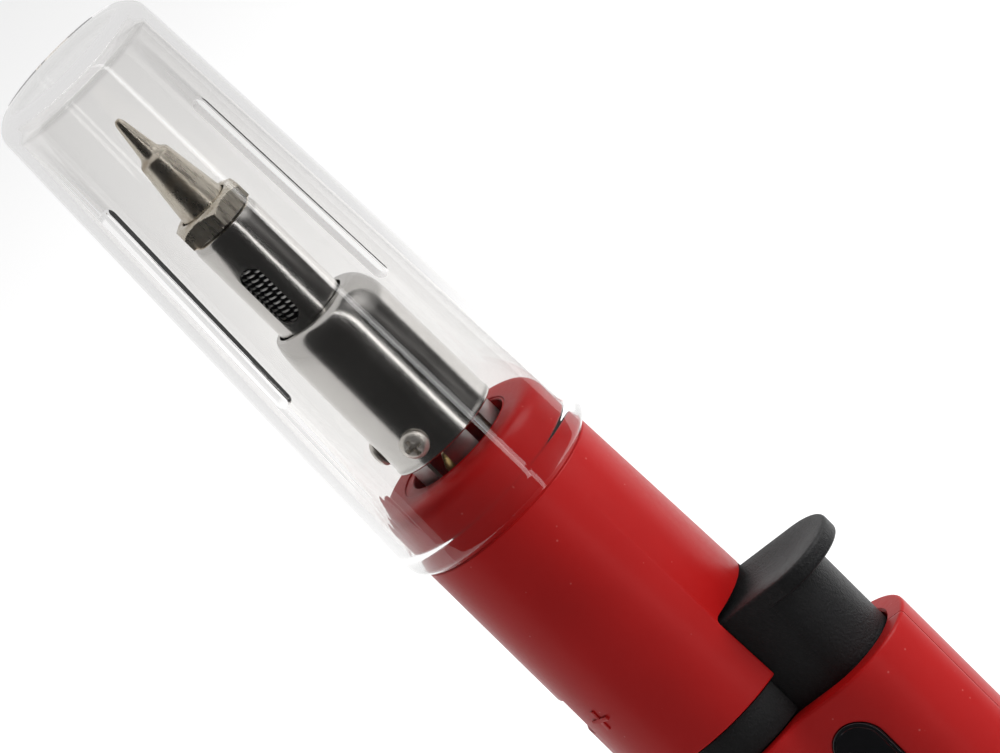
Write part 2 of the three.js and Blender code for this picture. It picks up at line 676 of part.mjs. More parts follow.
// ---------------------------------------------------------------- chassis
function chassis() {
  const inner = chassisRadius - chassisWall;
  const bandRadius = rearRadius - bandInset;
  const bandDrift = lean;
  let shape = rod(chassisRadius, chassisBottom, chassisTop, 0, 0, fine);
  shape = shape.add(rod(bandRadius, rearShellFront + fit, frontShellRear - fit, bandDrift, 0, fine));
  shape = shape.subtract(rod(inner, chassisBottom - 1, chassisTop - bulkhead, 0, 0, fine));
  // seat for the valve spring, and the web round the valve body
  const core = rod(inner + 0.2, chassisBottom, chassisTop, 0, 0, fine);
  const springSeat = block([-20, -20, leverZ + 5], [3.4, 20, leverZ + 7]);
  const valveWeb = block([-20, -20, chassisBottom], [4, 20, chassisBottom + bulkhead]);
  shape = shape.add(core.intersect(springSeat.add(valveWeb)));
  // ears for the lever's pin
  for (const side of [-1, 1]) {
    const [from, to] = [side * 3, side * 5.4].sort((a, b) => a - b);
    const ear = block([-20, from, leverZ - 2.2], [pivotX + 2.2, to, leverZ + 2.2]);
    shape = shape.add(core.intersect(ear));
  }
  const pinEnd = pinHalfLength + fit;
  shape = shape.subtract(crossRod(pinRadius + pinHole, -pinEnd, pinEnd, pivotX, leverZ, 16));
  // channel for the trigger and the igniter
  const half = triggerHalfWidth + fit;
  const channelTop = frontShellRear + notchDepth + 1;
  const [under, over] = [chassisTop - bulkhead - 1, chassisTop + 1];
  shape = shape.subtract(block([3.2, -half, chassisBottom - 1], [30, half, channelTop]));
  shape = shape.subtract(rod(valveRadius + fit, chassisBottom - 1, leverZ - 3, burnerX));
  shape = shape.subtract(rod(gasTubeRadius + fit, leverZ + 4, leverZ + 9, burnerX));
  shape = shape.subtract(rod(regulatorNeck + fit, under, over, burnerX));
  shape = shape.subtract(rod(leadHole, under, over, leadX, leadY, 16));
  const low = adjusterZ - adjusterSlot / 2 - 0.5;
  const window = adjusterSector(low, low + adjusterSlot + 1, adjusterTurn + 20, 5, chassisRadius + 2 * fit);
  shape = shape.subtract(window);
  add('chassis', shape, blackPlastic);
}

function flowAdjuster() {
  const low = adjusterZ - adjusterHeight / 2;
  const high = adjusterZ + adjusterHeight / 2;
  const reach = bodyRadius + 0.55 + burnerX;
  const half = adjusterTabWidth / 2;
  let shape = tube(6.2, regulatorRadius + fit, low, high, burnerX, medium);
  shape = shape.add(block([burnerX - reach + 1, -half, low], [burnerX - 5, half, high]));
  // gripping ribs across the thumb pad
  for (const y of [-1.8, -0.6, 0.6, 1.8]) {
    const tip = burnerX - reach;
    shape = shape.add(block([tip, y - 0.3, low], [tip + 1.4, y + 0.3, high]));
  }
  add('flow_adjuster', shape, blackPlastic);
}

// ---------------------------------------------------------------- trigger and igniter
function trigger() {
  const half = triggerHalfWidth;
  const boss = raised(tongue(triggerFloorX, triggerCentreX, half), bossEnd, finBack + 0.5);
  const hollow = tongue(triggerFloorX + triggerWall, triggerCentreX, half - triggerWall);
  const fin = raised(tongue(triggerFloorX, triggerFinCentreX, half), finBack, finFront);
  const wedge = new THREE.Shape();
  const angle = degrees(leverTurn);
  const arm = followerX - pivotX;
  const shift = leverRise * Math.sin(angle) + arm * (1 - Math.cos(angle));
  const near = followerX + followerRadius + fit + pinHole;
  const contact = leverFollowerTop;
  const rampTop = contact + triggerTravel + arm * Math.sin(angle);
  wedge.moveTo(triggerFloorX + 1.5, contact - 3);
  wedge.lineTo(near, contact - 3);
  wedge.lineTo(near, contact);
  wedge.lineTo(near - shift, rampTop);
  wedge.lineTo(near - shift, rampTop + 2.5);
  wedge.lineTo(triggerFloorX + 0.5, rampTop + 4.5);
  wedge.lineTo(triggerFloorX + 1.5, rampTop + 4.5);
  const rampGeometry = new THREE.ExtrudeGeometry(wedge, { depth: rampWidth, bevelEnabled: false });
  rampGeometry.rotateX(Math.PI / 2).translate(0, rampWidth / 2, 0);
  const shape = boss.add(fin).subtract(raised(hollow, bossEnd - 1, ceiling)).add(solid(rampGeometry));
  add('trigger', shape, blackPlastic);

  const plungerLow = piezoTop - 9;
  const plungerX = triggerFloorX + triggerWall + fit + piezoDepth / 2;
  add('piezo_plunger', rod(plungerRadius, plungerLow, ceiling - fit, plungerX), paleNylon);
  const coil = spring(plungerRadius + 0.95, 0.4, piezoTop + 0.1, ceiling - 0.1, 6, plungerX);
  add('trigger_spring', coil, steel);

  const left = triggerFloorX + triggerWall + fit;
  const wide = piezoWidth / 2;
  const bore = rod(plungerRadius + fit, plungerLow - triggerTravel - 1, piezoTop + 1, plungerX);
  const body = block([left, -wide, piezoTop - piezoLength], [left + piezoDepth, wide, piezoTop])
    .subtract(bore);
  add('piezo_body', body, blackPlastic);
}

// ---------------------------------------------------------------- rear shell
// Where the hump's centre is at a height: level at the front, then sinking smoothly into the body.
function humpX(z) {
  const behind = rearShellFront - z;
  const share = THREE.MathUtils.smoothstep(behind, humpLevel, humpLength);
  return lerp(triggerCentreX, humpRootX, share);
}

const bodyAt = (z) => lerp(tailRadius, rearRadius, (z - rearShellTail) / rearShellLength);

// The rear shell's outside, pulled in by `inset` (and by `archInset` over the hump).
function rearBody(inset, archInset, low, high, edge) {
  const outline = [[0, low], [bodyAt(low) - inset, low], [bodyAt(high) - inset, high - edge]];
  const mouth = bodyAt(high) - inset;
  outline.push([mouth - edge * 0.3, high - edge * 0.3], [mouth - edge, high], [0, high]);
  const round = turnedShape(outline, fine);
  const at = round.attributes.position;
  const leanAt = (z) => lean * THREE.MathUtils.clamp((z - rearShellTail) / rearShellLength, 0, 1);
  for (let i = 0; i < at.count; i += 1) at.setX(i, at.getX(i) + leanAt(at.getZ(i)));

  const radius = humpHalfWidth - archInset;
  const humpLow = rearShellFront - humpLength;
  const rows = 12;
  const ridge = [[0, humpLow]];
  for (let i = 0; i <= rows; i += 1) ridge.push([radius, lerp(humpLow, high - edge, i / rows)]);
  ridge.push([radius - edge * 0.3, high - edge * 0.3], [radius - edge, high], [0, high]);
  const hump = turnedShape(ridge, fine);
  const to = hump.attributes.position;
  for (let i = 0; i < to.count; i += 1) {
    const outward = to.getX(i) > -1e-6;
    const inner = Math.min(humpRootX, humpX(to.getZ(i)));
    const centre = outward ? humpX(to.getZ(i)) : inner;
    to.setX(i, to.getX(i) + centre);
  }
  return solid(round).add(solid(hump));
}

// Screw posts that tie the two halves together: [x, z].
const posts = [
  [-8.4, tankTop + 4.2],
  [14.6, rearShellFront - humpLevel - 14],
  [-4.5, tankFloor - 3.4],
];

function rearShells() {
  const outside = rearBody(0, 0, rearShellTail, rearShellFront, 0.9);
  const inside = rearBody(wall, archWall, rearShellTail - 1, rearShellFront + 1, 0);
  let shell = outside.subtract(inside);
  for (const [x, z] of posts) {
    shell = shell.add(crossRod(postRadius, -20, 20, x, z, 20).intersect(outside));
  }
  for (const [x, z] of posts) {
    shell = shell.subtract(crossRod(shellScrewRadius + fit, -0.2, 20, x, z, 16));
    shell = shell.subtract(crossRod(shellScrewRadius + 0.1, -5.4, 0, x, z, 16));
    shell = shell.subtract(crossRod(counterbore, shellScrewSeat, 20, x, z, 16));
  }
  const badgeX = triggerCentreX - badgeBelowCentre;
  const badgeZ = rearShellFront - badgeFromEdge - badgeLength / 2;
  const pocket = pill(badgeWidth + 2 * fit, badgeLength + 2 * fit);
  const floor = humpHalfWidth - badgeSeat;
  shell = shell.subtract(radialPrism(pocket, floor, 20, -90, badgeZ, badgeX));
  const far = 60;
  const high = rearShellFront + 10;
  add('rear_shell_left', shell.intersect(block([-far, split, -5], [far, far, high])), redPlastic);
  add('rear_shell_right', shell.intersect(block([-far, -far, -5], [far, -split, high])), redPlastic);

  const plate = pill(badgeWidth, badgeLength);
  const back = floor + fit;
  add('badge', radialPrism(plate, back, back + badgeThickness, -90, badgeZ, badgeX), glossBlack);

  posts.forEach(([x, z], i) => {
    const head = shellScrewSeat + fit;
    const screw = crossRod(shellScrewRadius, -4.8, 5.4, x, z, 16)
      .add(crossRod(shellScrewHead, head, head + 1.3, x, z, 16));
    const slot = block([x - 1.2, 6.1, z - 0.25], [x + 1.2, 7, z + 0.25]);
    const cross = slot.add(block([x - 0.25, 6.1, z - 1.2], [x + 0.25, 7, z + 1.2]));
    add(`shell_screw_${i + 1}`, screw.subtract(cross), steel);
  });
}

// ---------------------------------------------------------------- tank, refill valve and base
function tank() {
  const inner = tankRadius - tankWall;
  const outline = [[0, tankFloor], [tankRadius - 1.5, tankFloor], [tankRadius, tankFloor + 1.5]];
  outline.push([tankRadius, tankTop - 1.5], [tankRadius - 1.5, tankTop], [0, tankTop]);
  const hollow = [[0, tankFloor + 2], [inner - 1, tankFloor + 2], [inner, tankFloor + 3]];
  hollow.push([inner, tankTop - 3], [inner - 1, tankTop - 2], [0, tankTop - 2]);
  const shape = turned(outline, medium)
    .add(rod(5.6, tankTop - 0.5, tankTop + 1.7, burnerX))
    .add(rod(refillRadius + 1.6, tankFloor - 2.5, tankFloor + 0.5, refillX))
    .subtract(turned(hollow, medium))
    .subtract(rod(valveNeck + fit, tankTop - 3, tankTop + 4, burnerX))
    .subtract(rod(refillNeck + fit, tankFloor - 4, tankFloor + 3, refillX));
  add('fuel_tank', shape, { color: 0x3a3a3c, roughness: 0.3, metalness: 0 });

  const ring = new THREE.TorusGeometry(4.75, 0.65, 6, 20);
  ring.translate(burnerX, 0, tankTop + 1.7 + 0.65 + 0.1);
  add('tank_seal', solid(ring), rubber);
}

function refillValve() {
  const neck = refillNeck;
  const top = tankFloor + 6;
  const inner = 1.35;
  const outline = [[inner, refillSeat], [refillRadius, refillSeat], [refillRadius, tankFloor - 2.5 - 1.6]];
  outline.push([neck, tankFloor - 2.5 - 1.6], [neck, top], [inner, top]);
  add('refill_valve', turned(outline, coarse, refillX), brass);

  const ring = new THREE.TorusGeometry(neck + 0.75, 0.55, 6, 16);
  ring.translate(refillX, 0, tankFloor - 2.5 - 0.8);
  add('refill_seal', solid(ring), rubber);

  const stemLow = refillSeat - 0.3;
  const stem = [[0, stemLow], [refillStemRadius, stemLow], [refillStemRadius, tankFloor + 1]];
  stem.push([refillStemRadius + 0.2, tankFloor + 1], [refillStemRadius + 0.2, tankFloor + 2]);
  stem.push([0, tankFloor + 2]);
  add('refill_stem', turned(stem, 16, refillX), brass);
}

function base() {
  const outer = tailRadius;
  const inner = outer - wall - 0.6;
  const floor = 3;
  const edge = 1.5;
  const spigot = tailRadius - wall - fit;
  const foot = outer - 0.4;
  const spigotInner = spigot - 1.3;
  const top = baseHeight + spigotHeight;
  const outline = [[0, 0], [foot - edge, 0], [foot - edge * 0.3, edge * 0.3], [foot, edge]];
  outline.push([outer, baseHeight], [spigot, baseHeight], [spigot, top], [spigotInner, top]);
  outline.push([spigotInner, baseHeight - 2], [inner - 1, floor], [0, floor]);
  const shape = turned(outline, fine)
    .add(rod(refillRadius + fit + 1.5, floor - 1, floor + 4, refillX, 0, medium))
    .subtract(rod(refillRadius + fit, -1, floor + 5, refillX, 0, medium));
  add('base_cap', shape, blackPlastic);
}

// ---------------------------------------------------------------- the torch
cap();
solderingTip();
tipNut();
barrel();
catalyst();
heatShield();
shieldScrews();
mixingTube();
burnerPlate();
igniter();
igniterLead();
gasLine();
valve();
valveLever();
frontShell();
chassis();
flowAdjuster();
trigger();
rearShells();
tank();
refillValve();
base();

export default group;
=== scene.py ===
import json
import math

import bmesh
import bpy
import numpy as np
from mathutils import Matrix, Vector


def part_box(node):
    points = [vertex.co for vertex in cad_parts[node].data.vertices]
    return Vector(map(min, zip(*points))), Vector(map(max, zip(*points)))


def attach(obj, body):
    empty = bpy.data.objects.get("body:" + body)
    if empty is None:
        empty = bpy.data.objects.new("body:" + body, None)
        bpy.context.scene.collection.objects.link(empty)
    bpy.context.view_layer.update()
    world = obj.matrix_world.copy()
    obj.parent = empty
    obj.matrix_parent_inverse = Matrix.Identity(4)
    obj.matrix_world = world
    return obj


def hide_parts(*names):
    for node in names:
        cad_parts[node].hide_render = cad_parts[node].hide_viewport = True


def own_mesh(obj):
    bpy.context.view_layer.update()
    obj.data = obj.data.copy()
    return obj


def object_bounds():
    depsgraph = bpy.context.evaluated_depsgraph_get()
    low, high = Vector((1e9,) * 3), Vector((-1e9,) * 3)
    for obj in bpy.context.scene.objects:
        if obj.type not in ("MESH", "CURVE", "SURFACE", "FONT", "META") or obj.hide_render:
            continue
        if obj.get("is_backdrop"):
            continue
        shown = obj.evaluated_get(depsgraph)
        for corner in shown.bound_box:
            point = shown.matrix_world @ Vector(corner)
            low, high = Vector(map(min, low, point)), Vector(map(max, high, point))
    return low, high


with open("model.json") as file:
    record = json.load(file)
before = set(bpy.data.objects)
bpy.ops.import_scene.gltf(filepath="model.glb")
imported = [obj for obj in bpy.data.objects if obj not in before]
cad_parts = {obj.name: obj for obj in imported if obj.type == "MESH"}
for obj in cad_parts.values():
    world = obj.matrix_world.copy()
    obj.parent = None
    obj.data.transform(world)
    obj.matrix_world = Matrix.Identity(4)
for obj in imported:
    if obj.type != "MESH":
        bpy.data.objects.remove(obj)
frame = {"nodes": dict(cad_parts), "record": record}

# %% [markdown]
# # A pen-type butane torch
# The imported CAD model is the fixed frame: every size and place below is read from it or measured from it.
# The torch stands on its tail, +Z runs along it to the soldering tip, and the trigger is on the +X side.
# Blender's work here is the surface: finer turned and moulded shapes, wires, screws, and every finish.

MM = 0.001
cad_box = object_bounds()
record = frame["record"]
body_of = {node: body for body, nodes in record["behaviour"]["bodies"].items() for node in nodes}


def box_mm(node):
    """A CAD node's lowest and highest corner, in millimetres."""
    low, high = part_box(node)
    return np.array(low) / MM, np.array(high) / MM


# %% [markdown]
# ## The camera
# A long lens from nearly a metre keeps the torch almost parallel, as in a catalogue picture. The camera
# looks down a little, sees the trigger from its side, and is rolled an eighth of a turn so that the torch
# lies on the picture's diagonal. Its axes are built from the viewing angles, so nothing has to be aimed
# by hand.

# %% Camera
LENS = 264.5
SENSOR = 36.0
VIEW_AZIMUTH = math.radians(27.7)
VIEW_ELEVATION = math.radians(13.64)
VIEW_ROLL = math.radians(-45.42)
VIEW_DISTANCE = 879 * MM
LOOK_ACROSS = 9.79 * MM
LOOK_HEIGHT = 171.85 * MM

back = Vector((
    math.sin(VIEW_AZIMUTH) * math.cos(VIEW_ELEVATION),
    -math.cos(VIEW_AZIMUTH) * math.cos(VIEW_ELEVATION),
    math.sin(VIEW_ELEVATION),
))
level = Vector((math.cos(VIEW_AZIMUTH), math.sin(VIEW_AZIMUTH), 0))
upright = back.cross(level)
across = level * math.cos(VIEW_ROLL) + upright * math.sin(VIEW_ROLL)
upward = upright * math.cos(VIEW_ROLL) - level * math.sin(VIEW_ROLL)
camera_data = bpy.data.cameras.new("camera")
camera_data.lens = LENS
camera_data.sensor_width = SENSOR
camera_data.clip_end = 50
camera = bpy.data.objects.new("camera", camera_data)
bpy.context.scene.collection.objects.link(camera)
place = level * LOOK_ACROSS + Vector((0, 0, LOOK_HEIGHT)) + back * VIEW_DISTANCE
camera.matrix_world = Matrix((
    (across.x, upward.x, back.x, place.x),
    (across.y, upward.y, back.y, place.y),
    (across.z, upward.z, back.z, place.z),
    (0, 0, 0, 1),
))
bpy.context.scene.camera = camera
print("camera at", [round(c, 3) for c in place])

# %% [markdown]
# ## Meshes from rings
# Nearly every piece of this torch is turned, or moulded round an axis, so one helper does most of the
# work: it joins a stack of rings with quads. A ring may be any outline with the same number of points, so
# the same helper makes a lathe shape, a shield whose centre drifts, a tongue-shaped trigger and half of a
# shell.

# %% Mesh helpers
ROUND = 128                       # points round a turned piece
FINE_ROUND = 192                  # points round the bright pieces of the burner


def new_piece(name, vertices, faces):
    """A mesh object in metres, with doubles merged and faces pointing out."""
    mesh = bpy.data.meshes.new(name)
    mesh.from_pydata((np.asarray(vertices, float) * MM).tolist(), [], [list(face) for face in faces])
    shell = bmesh.new()
    shell.from_mesh(mesh)
    bmesh.ops.remove_doubles(shell, verts=shell.verts, dist=1e-7)
    bmesh.ops.dissolve_degenerate(shell, edges=shell.edges, dist=1e-8)
    bmesh.ops.recalc_face_normals(shell, faces=shell.faces)
    shell.to_mesh(mesh)
    shell.free()
    piece = bpy.data.objects.new(name, mesh)
    bpy.context.scene.collection.objects.link(piece)
    return piece


def skin(name, rings, wrap=True, loop=False):
    """Quads between rings; wrap joins each ring's ends, and loop joins the last ring to the first."""
    rings = np.asarray(rings, float)
    rows, count = rings.shape[:2]
    faces = []
    for row in range(rows if loop else rows - 1):
        low, high = row * count, (row + 1) % rows * count
        for j in range(count if wrap else count - 1):
            k = (j + 1) % count
            faces.append((low + j, low + k, high + k, high + j))
    if not loop:
        faces += [range(count), range((rows - 1) * count, rows * count)]
    if not wrap:
        faces += [[row * count for row in range(rows)], [row * count + count - 1 for row in range(rows)]]
    return new_piece(name, rings.reshape(-1, 3), faces)


def softened(corners, steps=5):
    """A path of (a, b, fillet radius) corners with each fillet drawn as an arc of points."""
    points = [np.array(corner[:2], float) for corner in corners]
    path = []
    for i, corner in enumerate(corners):
        radius = corner[2] if len(corner) > 2 else 0
        if radius == 0:
            path.append(points[i])
            continue
        before, after = points[i - 1] - points[i], points[(i + 1) % len(points)] - points[i]
        reach = min(radius, 0.49 * np.linalg.norm(before), 0.49 * np.linalg.norm(after))
        start = points[i] + before / np.linalg.norm(before) * reach
        end = points[i] + after / np.linalg.norm(after) * reach
        for share in np.linspace(0, 1, steps + 1):
            path.append((1 - share) ** 2 * start + 2 * share * (1 - share) * points[i] + share ** 2 * end)
    return path


def circle(radius, z, x=0.0, count=ROUND):
    """A ring of points round an axis at x."""
    angle = np.arange(count) * 2 * math.pi / count
    return np.stack([x + radius * np.cos(angle), radius * np.sin(angle), np.full(count, z)], axis=1)


def turned(name, corners, x=0.0, centre=None, count=ROUND, steps=5):
    """A lathe shape from (radius, z, fillet) corners; centre gives the axis's x at a height."""
    path = softened(corners, steps)
    rings = [circle(radius, z, centre(z) if centre else x, count) for radius, z in path]
    on_axis = path[0][0] < 1e-6 and path[-1][0] < 1e-6
    return skin(name, rings, loop=not on_axis)


def apply_modifiers(piece):
    """Turns a piece with its modifiers into a plain mesh."""
    bpy.context.view_layer.update()
    mesh = bpy.data.meshes.new_from_object(piece.evaluated_get(bpy.context.evaluated_depsgraph_get()))
    piece.modifiers.clear()
    piece.data = mesh
    return piece


def combine(piece, tool, operation="DIFFERENCE"):
    """Cuts, joins or keeps what two closed meshes share, and removes the tool."""
    modifier = piece.modifiers.new("combine", "BOOLEAN")
    modifier.operation = operation
    modifier.solver = "EXACT"
    modifier.object = tool
    apply_modifiers(piece)
    bpy.data.objects.remove(tool)
    return piece


def soften_edges(piece, width, angle=32, segments=2):
    """Rounds every edge that is sharper than the angle."""
    modifier = piece.modifiers.new("edges", "BEVEL")
    modifier.width = width * MM
    modifier.segments = segments
    modifier.limit_method = "ANGLE"
    modifier.angle_limit = math.radians(angle)
    modifier.use_clamp_overlap = True
    return apply_modifiers(piece)


def smooth(piece, angle=32):
    """Shades a piece smooth, apart from its real edges."""
    for face in piece.data.polygons:
        face.use_smooth = True
    piece.data.set_sharp_from_angle(angle=math.radians(angle))
    return piece


def prism(name, outline, matrix, low, high):
    """An outline in (u, v) pushed from low to high along w, then placed by a matrix in millimetres."""
    outline = np.asarray(outline, float)
    rings = []
    for w in (low, high):
        rings.append([tuple(matrix @ Vector((u, v, w))) for u, v in outline])
    return skin(name, rings)


def outward_at(turn, z, x=0.0):
    """The matrix whose u runs round the axis, v up it and w out of it, at a turn in degrees."""
    angle = math.radians(turn)
    turned_axes = Matrix((
        (-math.sin(angle), 0, math.cos(angle), x),
        (math.cos(angle), 0, math.sin(angle), 0),
        (0, 1, 0, z),
        (0, 0, 0, 1),
    ))
    return turned_axes


def pill(width, length, count=24):
    """A slot outline with round ends, its long side along v."""
    straight = (length - width) / 2
    angles = np.linspace(0, math.pi, count)
    top = [(width / 2 * math.cos(a), straight + width / 2 * math.sin(a)) for a in angles]
    bottom = [(-u, -v) for u, v in top]
    return top + bottom


def rectangle(width, height, radius=0.0, count=6):
    """A rectangle outline with round corners."""
    u, v = width / 2, height / 2
    corners = [(u, v, radius), (-u, v, radius), (-u, -v, radius), (u, -v, radius)]
    return softened(corners, count)


def tongue(root, centre, half_width, inset=0.0, count=48):
    """A tongue outline in (x, y), straight from its root and round at its end, pulled in by inset."""
    half = half_width - inset
    angles = np.linspace(-math.pi / 2, math.pi / 2, count)
    tip = [(centre + half * math.cos(a), half * math.sin(a)) for a in angles]
    along = np.linspace(root + inset, centre, 8)[:-1]
    return [(x, -half) for x in along] + tip + [(x, half) for x in along[::-1]]


def at_height(outline, z):
    """An (x, y) outline as a ring at a height."""
    return [(x, y, z) for x, y in outline]


print("points round a turned piece:", ROUND)

# %% [markdown]
# ## Finishes as expressions
# A finish is a node tree, but arithmetic reads best as arithmetic. `Number` wraps a socket so that `1 -
# mask` or `0.4 + 0.1 * grain` adds its Math nodes, and `Finish` adds any other node through one method.
# All patterns use object coordinates in metres, so a noise scale of 4000 gives grain about a quarter of a
# millimetre wide.

# %% Node expressions


class Number:
    """A number in a node tree; Python's operators add Math nodes."""

    def __init__(self, finish, socket):
        self.finish = finish
        self.socket = socket

    def maths(self, operation, first, second):
        made = self.finish.node("ShaderNodeMath", {"operation": operation}, {0: first, 1: second})
        return Number(self.finish, made.outputs[0])

    def __add__(self, other):
        return self.maths("ADD", self, other)

    def __radd__(self, other):
        return self.maths("ADD", other, self)

    def __sub__(self, other):
        return self.maths("SUBTRACT", self, other)

    def __rsub__(self, other):
        return self.maths("SUBTRACT", other, self)

    def __mul__(self, other):
        return self.maths("MULTIPLY", self, other)

    def __rmul__(self, other):
        return self.maths("MULTIPLY", other, self)

    def __pow__(self, other):
        return self.maths("POWER", self, other)

    def above(self, low, high):
        """0 below low, 1 above high, and smooth between them."""
        settings = {"interpolation_type": "SMOOTHSTEP"}
        values = {"Value": self, "From Min": low, "From Max": high}
        return Number(self.finish, self.finish.node("ShaderNodeMapRange", settings, values).outputs[0])


class Finish:
    """One material: a Principled shader and the nodes that feed it."""

    def __init__(self, name, colour, roughness, metallic=0.0, **constants):
        self.material = bpy.data.materials.new(name)
        self.material.use_nodes = True
        self.tree = self.material.node_tree
        self.shader = self.tree.nodes["Principled BSDF"]
        self.set("Base Color", (*colour, 1))
        self.set("Roughness", roughness)
        self.set("Metallic", metallic)
        for socket, value in constants.items():
            self.set(socket.replace("_", " ").title().replace("Ior", "IOR"), value)
        self.where = self.node("ShaderNodeTexCoord").outputs["Object"]

    def node(self, kind, settings=None, values=None):
        made = self.tree.nodes.new(kind)
        for key, value in (settings or {}).items():
            setattr(made, key, value)
        for key, value in (values or {}).items():
            self.feed(made.inputs[key], value)
        return made

    def feed(self, socket, value):
        if isinstance(value, Number):
            value = value.socket
        if isinstance(value, bpy.types.NodeSocket):
            self.tree.links.new(value, socket)
        else:
            socket.default_value = value

    def set(self, socket, value):
        self.feed(self.shader.inputs[socket], value)
        return self

    def noise(self, scale, detail=2.0, stretch=(1, 1, 1), roughness=0.5):
        """Noise from 0 to 1 with features about 1 / scale metres wide."""
        where = self.node("ShaderNodeMapping", None, {"Vector": self.where, "Scale": stretch}).outputs[0]
        values = {"Vector": where, "Scale": scale, "Detail": detail, "Roughness": roughness}
        return Number(self, self.node("ShaderNodeTexNoise", None, values).outputs[0])

    def apart(self):
        """The place's x, y and z, in metres."""
        return self.node("ShaderNodeSeparateXYZ", None, {0: self.where}).outputs

    def cells(self, scale, stretch=(1, 1, 1)):
        """Distance to the nearest of many scattered points, for specks and pits."""
        where = self.node("ShaderNodeMapping", None, {"Vector": self.where, "Scale": stretch}).outputs[0]
        values = {"Vector": where, "Scale": scale}
        return Number(self, self.node("ShaderNodeTexVoronoi", None, values).outputs[0])

    def mix(self, factor, first, second):
        """A colour between two colours."""
        made = self.node("ShaderNodeMix", {"data_type": "RGBA"}, {0: factor})
        for index, colour in ((6, first), (7, second)):
            self.feed(made.inputs[index], (*colour, 1) if isinstance(colour, tuple) else colour)
        return made.outputs[2]

    def bump(self, height, distance, strength=1.0):
        """Relief of that many metres, from a height of 0 to 1."""
        values = {"Height": height, "Distance": distance, "Strength": strength}
        return self.set("Normal", self.node("ShaderNodeBump", None, values).outputs[0])


# %% [markdown]
# ## The finishes
# The shells are satin red moulding with a faint orange peel and a few dust specks. The trigger and
# chassis have the fine sandpaper grain of a spark-eroded mould. The barrel and shield are drawn tube,
# polished bright with a few pits, the tip is nickel plated and slightly browned, and the cap is clear
# with the gentle waves of moulding.

# %% Plastics


def clouded(name, dark, light, clouds, roughness, relief, metallic=0.0):
    """A finish that clouds from a dark to a light colour; each pattern is its numbers, then its noise."""
    finish = Finish(name, light, roughness[0], metallic)
    finish.set("Base Color", finish.mix(finish.noise(*clouds), dark, light))
    low, spread, *pattern = roughness
    finish.set("Roughness", low + spread * finish.noise(*pattern))
    distance, strength, *pattern = relief
    return finish.bump(finish.noise(*pattern), distance, strength).material


def smoked_plastic():
    dark, light = (0.012, 0.012, 0.014), (0.03, 0.03, 0.033)
    return clouded("smoked_plastic", dark, light, (120, 3), (0.15, 0.15, 800, 3), (0.00003, 0.4, 500, 2))


def pale_nylon():
    dark, light = (0.56, 0.52, 0.44), (0.68, 0.65, 0.57)
    return clouded("pale_nylon", dark, light, (200, 3), (0.38, 0.15, 900, 2), (0.00003, 0.5, 1800, 3))


def black_rubber():
    dark, light = (0.01, 0.01, 0.01), (0.03, 0.03, 0.03)
    return clouded("black_rubber", dark, light, (900, 3), (0.65, 0.2, 1500, 2), (0.00004, 0.5, 3000, 2))


def red_plastic():
    finish = Finish("red_plastic", (0.34, 0.004, 0.004), 0.36, specular_ior_level=0.16)
    cloud = finish.noise(90, 3)
    speck = finish.cells(420).above(0.075, 0.03)
    plain = finish.mix(cloud, (0.30, 0.0035, 0.0035), (0.37, 0.005, 0.005))
    finish.set("Base Color", finish.mix(speck * 0.2, plain, (0.72, 0.30, 0.28)))
    finish.set("Roughness", 0.3 + 0.14 * finish.noise(1500, 3))
    return finish.bump(0.6 * finish.noise(900, 2) + 0.4 * finish.noise(5200, 2), 0.00003, 0.5).material


def black_plastic():
    finish = Finish("black_plastic", (0.012, 0.012, 0.013), 0.45, specular_ior_level=0.35)
    grain = finish.noise(4200, 3)
    finish.set("Base Color", finish.mix(grain, (0.005, 0.005, 0.0055), (0.014, 0.014, 0.015)))
    finish.set("Roughness", 0.36 + 0.2 * finish.noise(2600, 2))
    return finish.bump(0.6 * grain + 0.4 * finish.noise(2300, 2), 0.00016, 1.0).material


def gloss_black():
    finish = Finish("gloss_black", (0.006, 0.006, 0.007), 0.08, coat_weight=0.6, coat_roughness=0.04)
    dust = finish.cells(900).above(0.06, 0.03)
    finish.set("Base Color", finish.mix(dust, (0.006, 0.006, 0.007), (0.09, 0.09, 0.09)))
    finish.set("Roughness", 0.06 + 0.1 * finish.noise(600, 3))
    return finish.bump(finish.noise(400, 2), 0.00002, 0.3).material


def clear_plastic():
    """Glass to the eye; light and reflections pass straight, so the metals inside mirror the studio."""
    finish = Finish("clear_plastic", (0.9, 0.893, 0.885), 0.0, transmission_weight=1.0, ior=1.47)
    finish.bump(finish.noise(90, 1, (1, 1, 0.3)), 0.00008, 0.12)
    path = finish.node("ShaderNodeLightPath").outputs
    open_air = finish.node("ShaderNodeBsdfTransparent", None, {"Color": (0.97, 0.967, 0.967, 1)}).outputs[0]
    glass = finish.shader.outputs[0]
    mirrored = {0: path["Is Transmission Ray"], 1: open_air, 2: glass}
    shown = finish.node("ShaderNodeMixShader", None, mirrored).outputs[0]
    bounced = {0: path["Is Glossy Ray"], 1: glass, 2: shown}
    shown = finish.node("ShaderNodeMixShader", None, bounced).outputs[0]
    for ray in ("Is Diffuse Ray", "Is Shadow Ray"):
        shown = finish.node("ShaderNodeMixShader", None, {0: path[ray], 1: shown, 2: open_air}).outputs[0]
    finish.tree.links.new(shown, finish.tree.nodes["Material Output"].inputs["Surface"])
    return finish.material


def white_ceramic():
    finish = Finish("white_ceramic", (0.82, 0.8, 0.74), 0.3)
    scorch = finish.noise(300, 4).above(0.5, 0.8)
    finish.set("Base Color", finish.mix(scorch, (0.84, 0.82, 0.77), (0.55, 0.47, 0.36)))
    finish.set("Roughness", 0.25 + 0.2 * finish.noise(900, 2))
    return finish.bump(finish.noise(2500, 2), 0.00002, 0.4).material


# %% Metals


